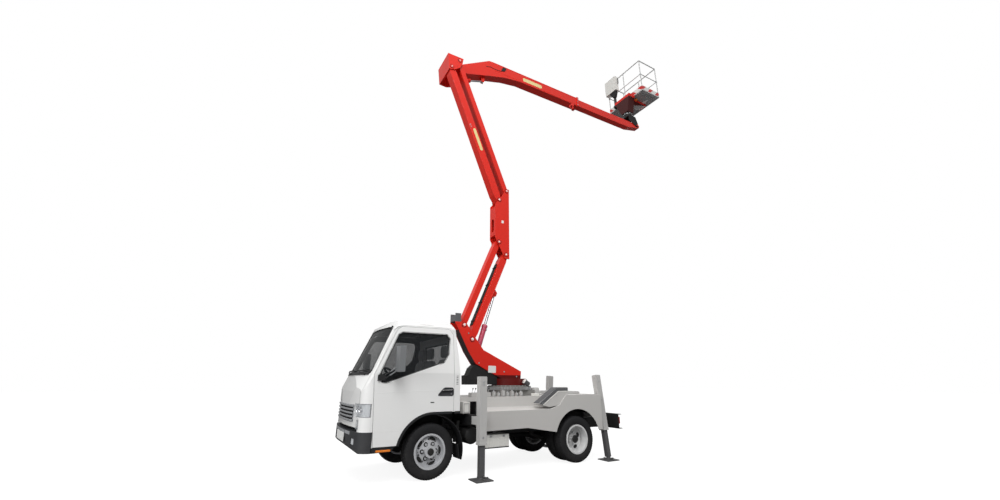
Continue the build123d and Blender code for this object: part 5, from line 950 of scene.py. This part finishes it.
def deck_details():
    """Slew motor, valve block with levers and pipes, drive motor, covers, and the slew ring's teeth and bolts."""
    motor = [(0.0, 0.0), (0.085, 0.0), (0.085, 0.020), (0.070, 0.030), (0.070, 0.110), (0.060, 0.125), (0.0, 0.128)]
    piece("slew_motor", [turned(motor, (-0.875, 0.20, 1.012), (0, 0, 1), 40)], leg_paint)
    spots = [(-0.875 + 0.076 * math.cos(a), 0.20 + 0.076 * math.sin(a), 1.032) for a in np.arange(8) * math.pi / 4]
    piece("slew_motor_bolts", hex_bolts(spots, (0, 0, 1), 0.007, 0.007), zinc)
    piece("valve_block", [crate((0.16, 0.50), (0.36, 0.48), (1.0105, 1.075))], leg_paint, bevel=0.004)
    levers, knobs, unions = [], [], []
    for i in range(7):
        x = 0.185 + 0.047 * i
        levers.append(tube([(x, 0.42, 1.070), (x, 0.435, 1.105), (x, 0.455, 1.128)], 0.0045, (1.0, 0, 0), 8))
        knobs.append(turned([(0.0, -0.011), (0.008, -0.009), (0.011, 0.0), (0.008, 0.009), (0.0, 0.011)],
                            (x, 0.458, 1.132), (0, 0.5, 0.87), 12))
        unions.append(turned([(0.0, 0.0), (0.011, 0.0), (0.011, 0.012), (0.007, 0.014), (0.007, 0.026), (0.0, 0.026)],
                             (x, 0.3605, 1.04), (0, -1, 0), 6))
    piece("valve_levers", levers, chrome)
    piece("valve_knobs", knobs, black_plastic)
    piece("valve_unions", unions, zinc)
    pipes = [tube([(0.20 + 0.055 * i, 0.355, 1.022 + 0.004 * i), (0.17 + 0.055 * i, 0.30, 1.022 + 0.004 * i),
                   (0.15 + 0.055 * i, 0.10, 1.022 + 0.004 * i)], 0.006, (0, 0, 1.0), 10) for i in range(5)]
    piece("deck_pipes", pipes, zinc)
    # Oblique drive motor beside the turret's foot, with its white cover, and small fittings on the deck
    axis = np.array([0.85, 0.0, 0.527])
    drum = [(0.0, -0.085), (0.034, -0.085), (0.040, -0.078), (0.040, 0.0), (0.046, 0.002), (0.046, 0.016), (0.0, 0.016)]
    piece("drive_motor", [turned(drum, (-0.575, 0.345, 1.235), axis, 32)], dark_steel, "turret")
    lid = [(0.0, 0.0165), (0.040, 0.0165), (0.036, 0.024), (0.012, 0.026), (0.012, 0.034), (0.0, 0.034)]
    piece("drive_cover", [turned(lid, (-0.575, 0.345, 1.235), axis, 32)], box_white, "turret")
    piece("sensor_box", [crate((-0.70, -0.60), (0.48, 0.58), (1.0105, 1.052))], box_white, bevel=0.004)
    unions = [turned([(0.0, 0.0), (0.020, 0.0), (0.020, 0.012), (0.012, 0.014), (0.012, 0.030), (0.017, 0.032),
                      (0.017, 0.044), (0.0, 0.046)], (-0.98 - 0.065 * i, 0.50 - 0.02 * (i % 2), 1.0105), (0, 0, 1), 12)
              for i in range(5)]
    piece("deck_unions", unions, under_black)
    for name, side in SIDES:
        cover = prism([(-1.70, 1.0295), (-1.22, 1.0295), (-1.22, 1.060), (-1.26, 1.075), (-1.66, 1.075),
                       (-1.70, 1.060)], side * 0.16, side * 0.42)
        piece(f"rear_cover_{name}", [cover], leg_paint, bevel=0.004)
    slats = [crate((-1.62 + 0.05 * i, -1.60 + 0.05 * i), (-0.12, 0.12), (1.0285, 1.0345)) for i in range(8)]
    piece("rear_hatch_slats", slats, under_black, bevel=0.001)
    # Ring of teeth round the slew bearing
    n = 96
    a = np.repeat(np.arange(n) * 2 * np.pi / n, 4) + np.tile(np.array([-0.018, -0.010, 0.010, 0.018]), n)
    r = np.tile(np.array([0.3895, 0.3975, 0.3975, 0.3895]), n)
    teeth = np.stack([RING_X + r * np.cos(a), r * np.sin(a)], -1)
    spots = [(RING_X + 0.345 * math.cos(k), 0.345 * math.sin(k), 1.1635) for k in np.arange(28) * 2 * math.pi / 28]
    piece("slew_bolts", hex_bolts(spots, (0, 0, 1), 0.011, 0.009), zinc)
    row, tails = [], []
    fittings = ((0.075, 0.020), (0.055, 0.016), (0.090, 0.022), (0.060, 0.018), (0.082, 0.020), (0.050, 0.016),
                (0.070, 0.020))
    for i, (tall, wide) in enumerate(fittings):
        x = 0.10 - 0.085 * i
        row.append(crate((x - wide, x + wide), (0.43, 0.49), (1.0102, 1.010 + tall)))
        tails.append(turned([(0.0, 0.0), (0.012, 0.0), (0.012, 0.010), (0.008, 0.012), (0.008, 0.022), (0.0, 0.023)],
                            (x, 0.46, 1.010 + tall), (0, 0, 1), 12))
        tails.append(turned([(0.0, 0.0), (0.010, 0.0), (0.010, 0.016), (0.0, 0.018)], (x, 0.4902, 1.030), (0, 1, 0), 6))
    piece("fittings_row", row, leg_paint, bevel=0.003)
    piece("fittings_caps", tails, zinc)
    piece("slew_teeth", [prism(teeth, 1.108, 1.150, "z")], zinc)


def outrigger_details():
    """Collars, caps and bolts on the leg boxes, ribs on the pads, and the rear beam's reflectors and plate."""
    for name, side in SIDES:
        y = side * LEG_Y
        body = f"outrigger_beam_{name}"
        ring = lambda g, z: np.array([(LEG_X - g, y - g, z), (LEG_X + g, y - g, z), (LEG_X + g, y + g, z),
                                      (LEG_X - g, y + g, z)])
        out, inn = 0.0575, 0.0526
        rings = [ring(out, 0.4255), ring(out, 0.455), ring(inn, 0.455), ring(inn, 0.4255)]
        piece(f"leg_collar_{name}", [carried(rings)], leg_paint, body, bevel=0.001)
        piece(f"leg_cap_{name}", [crate((0.59, 0.69), (y - 0.05, y + 0.05), (1.3001, 1.3060))], leg_paint, body,
              bevel=0.002)
        bolts = [(LEG_X, y + side * 0.0525, z) for z in (0.52, 1.20, 1.235)]
        piece(f"leg_bolts_{name}", hex_bolts(bolts, (0, side, 0), 0.009, 0.006), zinc, body)
        ribs = [crate((LEG_X - 0.11, LEG_X + 0.11), (y - 0.006, y + 0.006), (0.0135, 0.034)),
                crate((0.634, 0.646), (y - 0.11, y + 0.11), (0.0135, 0.034))]
        piece(f"pad_ribs_{name}", ribs, dark_steel, f"outrigger_leg_{name}", bevel=0.002)
        # Rear leg box: collar and bolts in the leaning frame
        lean = math.radians(REAR_LEG_LEAN)
        foot = np.array([REAR_LEG_X, side * REAR_LEG_Y, 0.0])
        u = np.array([0, math.cos(lean), side * math.sin(lean)])
        v = np.array([0, -side * math.sin(lean), math.cos(lean)])
        w = np.array([1.0, 0, 0])
        spot = lambda dx, dy, h: foot + w * dx + u * dy + v * h
        square = lambda g, h: np.array([spot(-g, -g, h), spot(g, -g, h), spot(g, g, h), spot(-g, g, h)])
        rings = [square(out, 0.4555), square(out, 0.485), square(inn, 0.485), square(inn, 0.4555)]
        piece(f"rear_leg_collar_{name}", [carried(rings)], leg_paint, bevel=0.001)
        spots = [spot(0, side * 0.0525, h) for h in (0.55, 0.95, 1.25)]
        piece(f"rear_leg_bolts_{name}", hex_bolts(spots, tuple(u * side), 0.009, 0.006), zinc)
        cap = carried([square(0.047, 1.3521), square(0.047, 1.3570), square(0.020, 1.3572), square(0.020, 1.3521)])
        piece(f"rear_leg_cap_{name}", [cap], leg_paint)
        ribs = [crate((REAR_LEG_X - 0.11, REAR_LEG_X + 0.11), (foot[1] - 0.006, foot[1] + 0.006), (0.0135, 0.030)),
                crate((-1.872, -1.860), (foot[1] - 0.11, foot[1] + 0.11), (0.0135, 0.030))]
        piece(f"rear_pad_ribs_{name}", ribs, dark_steel, f"rear_leg_{name}", bevel=0.002)
        # Reflector on the rear cross beam
        disc = turned([(0.0, 0.0), (0.032, 0.0), (0.034, -0.004), (0.030, -0.010), (0.0, -0.011)],
                      (-2.2605, side * 0.45, 0.58), (1, 0, 0), 32)
        piece(f"rear_reflector_{name}", [disc], tail_red)
    plate = box_outline((-0.26, 0.26), (0.505, 0.615), 0.012)
    piece("rear_plate", [prism(plate, -2.2625, -2.2602, "x")], white_plate, bevel=0.001)


# ---- Turret, arms and boom ----

LOWER_BOOM, LOWER_LINK = np.array((0.325, 1.925)), np.array((0.483, 2.160))
UPPER_BOOM, UPPER_LINK = np.array((-0.203, 4.655)), np.array((-0.371, 4.880))


def along(start, degrees, distance, off=0.0):
    """A side-view place at a distance along a direction, and off to its left."""
    a = math.radians(degrees)
    return np.array([start[0] + distance * math.cos(a) - off * math.sin(a),
                     start[1] + distance * math.sin(a) + off * math.cos(a)])


def pin_caps_with_painted_light(name, body, places, y, size=1.0):
    """A domed cap on each pin head in matt white, a painted highlight, and a dark ring round the head, painted shade of
    a groove, at each side.
    """
    discs, groove_shade_rings = [], []
    for x, z in places:
        for level in y:
            side = 1 if level > 0.0 or level > sum(y) / 2 else -1
            # painted highlight: a matt white cap standing for the glint on each pin head
            discs.append(turned([(0.0, 0.0), (0.023 * size, 0.0), (0.021 * size, side * 0.004),
                                 (0.008 * size, side * 0.007), (0.0, side * 0.0075)], (x, level, z), sides=32))
            # painted shade: a dark ring standing for the shaded groove round each pin head
            groove_shade_rings.append(turned([(0.0385, -side * 0.0088), (0.047, -side * 0.0088), (0.046, -side * 0.0055),
                                   (0.0385, -side * 0.0050)], (x, level, z), sides=40, closed=True))
    piece(f"pin_highlight_caps_{name}", discs, white_plate, body)
    piece(f"pin_shade_rings_{name}", groove_shade_rings, under_black, body)


def arms():
    """Pin ends with painted highlights and painted shade rings, screws, weld seams, clipped hoses and plates on the
    turret and arms.
    """
    lower_top = [along(LOWER_BOOM, LOWER_ANGLE, LOWER_LENGTH), along(LOWER_LINK, LOWER_ANGLE, LOWER_LENGTH)]
    upper_top = [along(UPPER_BOOM, UPPER_ANGLE, UPPER_LENGTH), along(UPPER_LINK, UPPER_ANGLE, UPPER_LENGTH)]
    pin_caps_with_painted_light("turret", "turret", [LOWER_BOOM, LOWER_LINK], (HEAD_PIN, -HEAD_PIN))
    pin_caps_with_painted_light("middle", "middle_head", [*lower_top, UPPER_BOOM, UPPER_LINK], (HEAD_PIN, -HEAD_PIN), 0.8)
    pin_caps_with_painted_light("top", "top_knuckle", upper_top, (HEAD_PIN, -HEAD_PIN), 0.6)
    label = np.array([(0.013, 1.497), (-0.136, 1.493), (-0.132, 1.378), (0.019, 1.383)])
    piece("turret_label", [prism(rounded(label, 0.01), PLATE_FACE, 0.1112)], white_plate, "turret")
    piece("turret_label_far", [prism(rounded(label, 0.01), -0.1112, -PLATE_FACE)], white_plate, "turret")
    screws = [(x, s * 0.1102, z) for s in (1, -1)
              for x, z in ((0.193, 1.536), (-0.30, 1.40), (-0.55, 1.32), (0.40, 2.02))]
    piece("turret_screws", [c for p in screws for c in hex_bolts([p], (0, math.copysign(1, p[1]), 0), 0.009, 0.006)],
          zinc, "turret")
    head_label = box_outline((-0.300, -0.250), (4.170, 4.225), 0.006)
    piece("head_label", [prism(head_label, PLATE_FACE, 0.1110)], white_plate, "middle_head")
    # Welded seams along the arms' corners, and hoses clipped to their inner faces
    for name, foot, angle, length, depth, half, turn in (
            ("lower_boom", LOWER_BOOM, LOWER_ANGLE, LOWER_LENGTH, 0.132, 0.082, -1),
            ("upper_boom", UPPER_BOOM, UPPER_ANGLE, UPPER_LENGTH, 0.150, 0.088, 1)):
        lines = []
        for level in (half, -half):
            for off in (depth / 2 - 0.014, -depth / 2 + 0.014):
                p, q = (along(foot, angle, t, off) for t in (0.30, length - 0.30))
                middle = p * 0.5 + q * 0.5
                lines.append(tube([(x, level, z) for x, z in (p, middle, q)], 0.0028, (0, 1.0, 0), 6))
        piece(f"{name}_welds", lines, red_paint, name)
        hoses, clips = [], []
        for y in (-0.036, -0.012, 0.012, 0.036):
            p = [along(foot, angle, t, turn * (depth / 2 + 0.012)) for t in np.linspace(0.24, length - 0.24, 24)]
            hoses.append(tube([(q[0], y, q[1]) for q in p], 0.0095, (0, 1.0, 0), 10))
        for t in np.linspace(0.32, length - 0.32, int(length / 0.42)):
            clip = [along(foot, angle, t + step, turn * (depth / 2 + rise))
                    for step, rise in ((-0.012, -0.001), (0.012, -0.001), (0.012, 0.026), (-0.012, 0.026))]
            clips.append(prism(clip, -0.056, 0.056))
        piece(f"{name}_hoses", hoses, black_rubber, name)
        piece(f"{name}_clips", clips, under_black, name, bevel=0.002)
    # Cream plate, an upright pill on the upper boom
    pill = rounded([along(UPPER_BOOM, UPPER_ANGLE, t, off)
                    for t, off in ((1.08, 0.046), (1.57, 0.046), (1.57, -0.016), (1.08, -0.016))], 0.031, 9)
    rim = grown(pill, 0.007)
    piece("upper_plate_rim", [prism(rim, 0.0881, 0.0890)], red_paint, "upper_boom")
    dots = [along(UPPER_BOOM, UPPER_ANGLE, t, -0.036) for t in (1.62, 1.665)]
    piece("upper_screws", hex_bolts([(x, 0.0881, z) for x, z in dots], (0, 1, 0), 0.009, 0.005), zinc, "upper_boom")
    piece("upper_plate", [prism(pill, 0.0885, 0.0896)], cream_plate, "upper_boom")


def boom():
    """Plate, knob, ring, bolts, seams and neck groove on the telescopic boom, and the cylinders' bands and ports."""
    pill = box_outline((-1.548, -0.996), (8.052, 8.150), 0.048, 9)
    piece("boom_plate", [prism(pill, -0.1499, -0.1486)], cream_plate, "tele_outer")
    x = -2.67
    knob = [(0.0, 0.0), (0.022, 0.0), (0.022, 0.014), (0.034, 0.020), (0.034, 0.040), (0.020, 0.048), (0.0, 0.050)]
    piece("collar_knob", [turned(knob, (x, -0.25, 8.2455), (0, 0, 1), 28)], black_plastic, "tele_outer")
    a = np.linspace(0, 2 * np.pi, 40, endpoint=False)
    ring = np.stack([-2.475 + 0.052 * np.cos(a), np.full(40, -0.175), 7.905 + 0.052 * np.sin(a)], -1)
    disc = turned([(0.0, 0.0), (0.050, 0.0), (0.053, 0.008), (0.040, 0.022), (0.0, 0.024)], (-2.515, -0.172, 7.975),
                  sides=32)
    piece("collar_ring", [tube(ring, 0.014, (0, 1.0, 0), 14, True), disc], red_paint, "tele_outer")
    bolts = []
    for y, way in ((-0.1355, 1), (-0.3645, -1)):
        bolts += hex_bolts([(x, y, z) for z in (8.02, 8.11, 8.20)], (0, way, 0), 0.010, 0.007)
    piece("collar_bolts", bolts, zinc, "tele_outer")
    seams = [tube([(-2.62, y, z), (-1.4, y, z), (-0.22, y, z)], 0.003, (0, 1.0, 0), 6) for y in (-0.150, -0.350)
             for z in (8.012, 8.214)]
    piece("boom_welds", seams, red_paint, "tele_outer")
    pin = turned([(0.0, -0.003), (0.026, -0.003), (0.028, 0.0), (0.026, 0.003), (0.0, 0.003)], (0.820, -0.4465, 7.578),
                 sides=32)
    piece("luff_pin_end", [pin], chrome, "top_knuckle")
    slot = np.array([(-0.008, 8.036), (-0.120, 8.062), (-0.240, 8.052), (-0.385, 8.062)])
    x, z = (np.interp(np.linspace(0, 3, 40), np.arange(4), slot[:, k]) for k in (0, 1))
    groove = np.stack([x, np.full(40, -0.1490), z], -1)
    piece("neck_groove", [tube(groove, 0.007, (0, 1.0, 0), 8)], under_black, "tele_outer")
    block = rounded([(-0.385, 8.062), (-0.445, 8.200), (-0.535, 8.200), (-0.500, 8.105)], 0.02)
    piece("neck_block", [prism(block, -0.1499, -0.1400)], under_black, "tele_outer", bevel=0.003)
    # Bands, gland nuts and ports of the two cylinders
    for label, foot, lug, length, r, paint, slot in (
            ("lift", (0.225, 0.0, 1.584), (-0.15036, 0.0, 2.76884), 0.640, 0.046, pink_paint, "pink_red_paint"),
            ("luff", (0.755, -0.25, 7.412), (0.040, -0.25, 7.665), 0.440, 0.036, red_paint, "red_paint")):
        foot, lug = np.array(foot), np.array(lug)
        w = unit(lug - foot)
        gland = [(r + 0.0005, length - 0.045), (r + 0.006, length - 0.043), (r + 0.006, length - 0.006),
                 (r - 0.004, length + 0.004), (r * 0.55, length + 0.005), (r * 0.55, length - 0.02)]
        chunks = [turned(gland, foot, w, 32, True)]
        for t in (0.16, length - 0.10):
            chunks.append(turned([(r - 0.001, t), (r + 0.004, t + 0.002), (r + 0.004, t + 0.014),
                                  (r - 0.001, t + 0.016)], foot, w, 32, True))
        piece(f"{label}_bands", chunks, paint, f"{label}_barrel")
        side = np.cross(w, (0, 1.0, 0))
        port = [(0.0, r - 0.006), (0.014, r - 0.006), (0.014, r + 0.012), (0.009, r + 0.016), (0.0, r + 0.016)]
        ports = [turned(port, foot + w * t, side, 6) for t in (0.13, length - 0.07)]
        piece(f"{label}_ports", ports, zinc, f"{label}_barrel")


# ---- Basket ----

def basket():
    """Striped toe boards, ribbed floor, corner fittings, control desk, rotator bolts and the lamp below."""
    x, y = (-5.528, -4.825), (-1.053, 0.213)
    z = (9.160, 9.286)
    skins = [crate((x[0] + 0.0049, x[0] + 0.0075), (y[0] + 0.008, y[1] - 0.008), z),
             crate((x[1] - 0.0075, x[1] - 0.0049), (y[0] + 0.008, y[1] - 0.008), z),
             crate((x[0] + 0.008, x[1] - 0.008), (y[0] + 0.0049, y[0] + 0.0075), z),
             crate((x[0] + 0.008, x[1] - 0.008), (y[1] - 0.0075, y[1] - 0.0049), z)]
    outer = [crate((x[0] - 0.0014, x[0] + 0.001), y, z), crate((x[1] - 0.001, x[1] + 0.00025), y, z),
             crate(x, (y[0] - 0.0014, y[0] + 0.001), z), crate(x, (y[1] - 0.001, y[1] + 0.0014), z)]
    piece("toe_boards", skins + outer, stripe_paint, "basket")
    ribs = [crate((x[0] + 0.012, x[1] - 0.012), (c - 0.007, c + 0.007), (9.117, 9.1295))
            for c in np.linspace(y[0] + 0.05, y[1] - 0.05, 22) if not -0.66 < c < 0.0]
    ribs += [crate((c - 0.007, c + 0.007), (y[0] + 0.012, y[1] - 0.012), (9.121, 9.1295))
             for c in np.linspace(x[0] + 0.03, -5.44, 3)]
    piece("floor_ribs", ribs, lightened_underside_grey, "basket", bevel=0.001)
    cover = crate((x[0] + 0.002, x[1] - 0.002), (y[0] + 0.002, y[1] - 0.002), (9.1282, 9.1295))
    piece("floor_under", [cover], lightened_underside_grey, "basket")
    mat = [crate((c, c + 0.018), (y[0] + 0.02, y[1] - 0.02), (9.1590, 9.1625))
           for c in np.linspace(x[0] + 0.03, x[1] - 0.05, 16)]
    piece("floor_mat", mat, black_rubber, "basket", bevel=0.001)
    corners = [(cx, cy) for cx in (x[0] + 0.015, x[1] - 0.015) for cy in (y[0] + 0.015, y[1] - 0.015)]
    clamps = [turned([(0.0132, -0.024), (0.0205, -0.022), (0.0205, 0.022), (0.0132, 0.024)], (p[0], p[1], 9.690),
                     (0, 0, 1), 24, True) for p in corners]
    piece("rail_clamps", clamps, zinc, "basket")
    # Control desk: a sloped lid, a black key pad, two joysticks, a red stop button and a guard hoop
    desk = prism(rounded([(-1.030, 9.80), (-1.030, 10.185), (-0.630, 10.185), (-0.630, 9.80)], 0.02), -4.6945,
                 -4.6920, "x")
    piece("desk_face", [desk], box_white, "basket")
    bracket = [(-0.90, 9.699), (-0.65, 9.699), (-0.66, 9.60), (-0.705, 9.48), (-0.775, 9.48), (-0.86, 9.60)]
    piece("desk_bracket", [prism(bracket, -4.795, -4.712, "x")], under_black, "basket", bevel=0.004)
    piece("post_clamp", [crate((-4.824, -4.722), (-0.80, -0.69), (9.129, 9.20))], under_black, "basket", bevel=0.004)
    grip = np.array([(-4.80, -0.612, 9.93), (-4.80, -0.600, 9.95), (-4.80, -0.596, 10.03), (-4.80, -0.600, 10.11),
                     (-4.80, -0.612, 10.13)])
    piece("desk_grip", [tube(grip, 0.012, (1.0, 0, 0), 12)], black_rubber, "basket")
    a = np.linspace(0, 2 * np.pi, 32, endpoint=False)
    eye = np.stack([-4.745 + 0.03 * np.cos(a), np.full(32, -0.66), 10.152 + 0.03 * np.sin(a)], -1)
    piece("desk_eye", [tube(eye, 0.006, (0, 1.0, 0), 10, True)], zinc, "basket")
    # Rotator bolts, and the lamp and a thin white patch under the floor
    a = np.arange(10) * 2 * np.pi / 10
    bolts = []
    for c, s in zip(np.cos(a), np.sin(a)):
        bolts += hex_bolts([(-4.70 + 0.1150 * c, -0.30 + 0.1150 * s, 8.545)], (c, s, 0), 0.013, 0.009)
    piece("rotator_bolts", bolts, zinc, "level_bracket")
    beacon = [(0.0, 0.0), (0.045, 0.0), (0.045, -0.008), (0.040, -0.012), (0.038, -0.040), (0.026, -0.052),
              (0.0, -0.055)]
    piece("beacon", [turned(beacon, (-4.983, -0.177, 9.1275), (0, 0, 1), 36)], marker_orange, "basket")
    plate = [(-5.292, -0.247), (-5.216, -0.125), (-5.294, -0.022), (-5.373, -0.155)]
    piece("floor_white_patch", [prism(plate, 9.114, 9.1168, "z")], white_plate, "basket")


wheels()
cab_seals()
cowl_and_wipers()
trims()
door_fittings()
front_face()
seat_pads()
dash_details()
body_details()
deck_details()
outrigger_details()
arms()
boom()
basket()
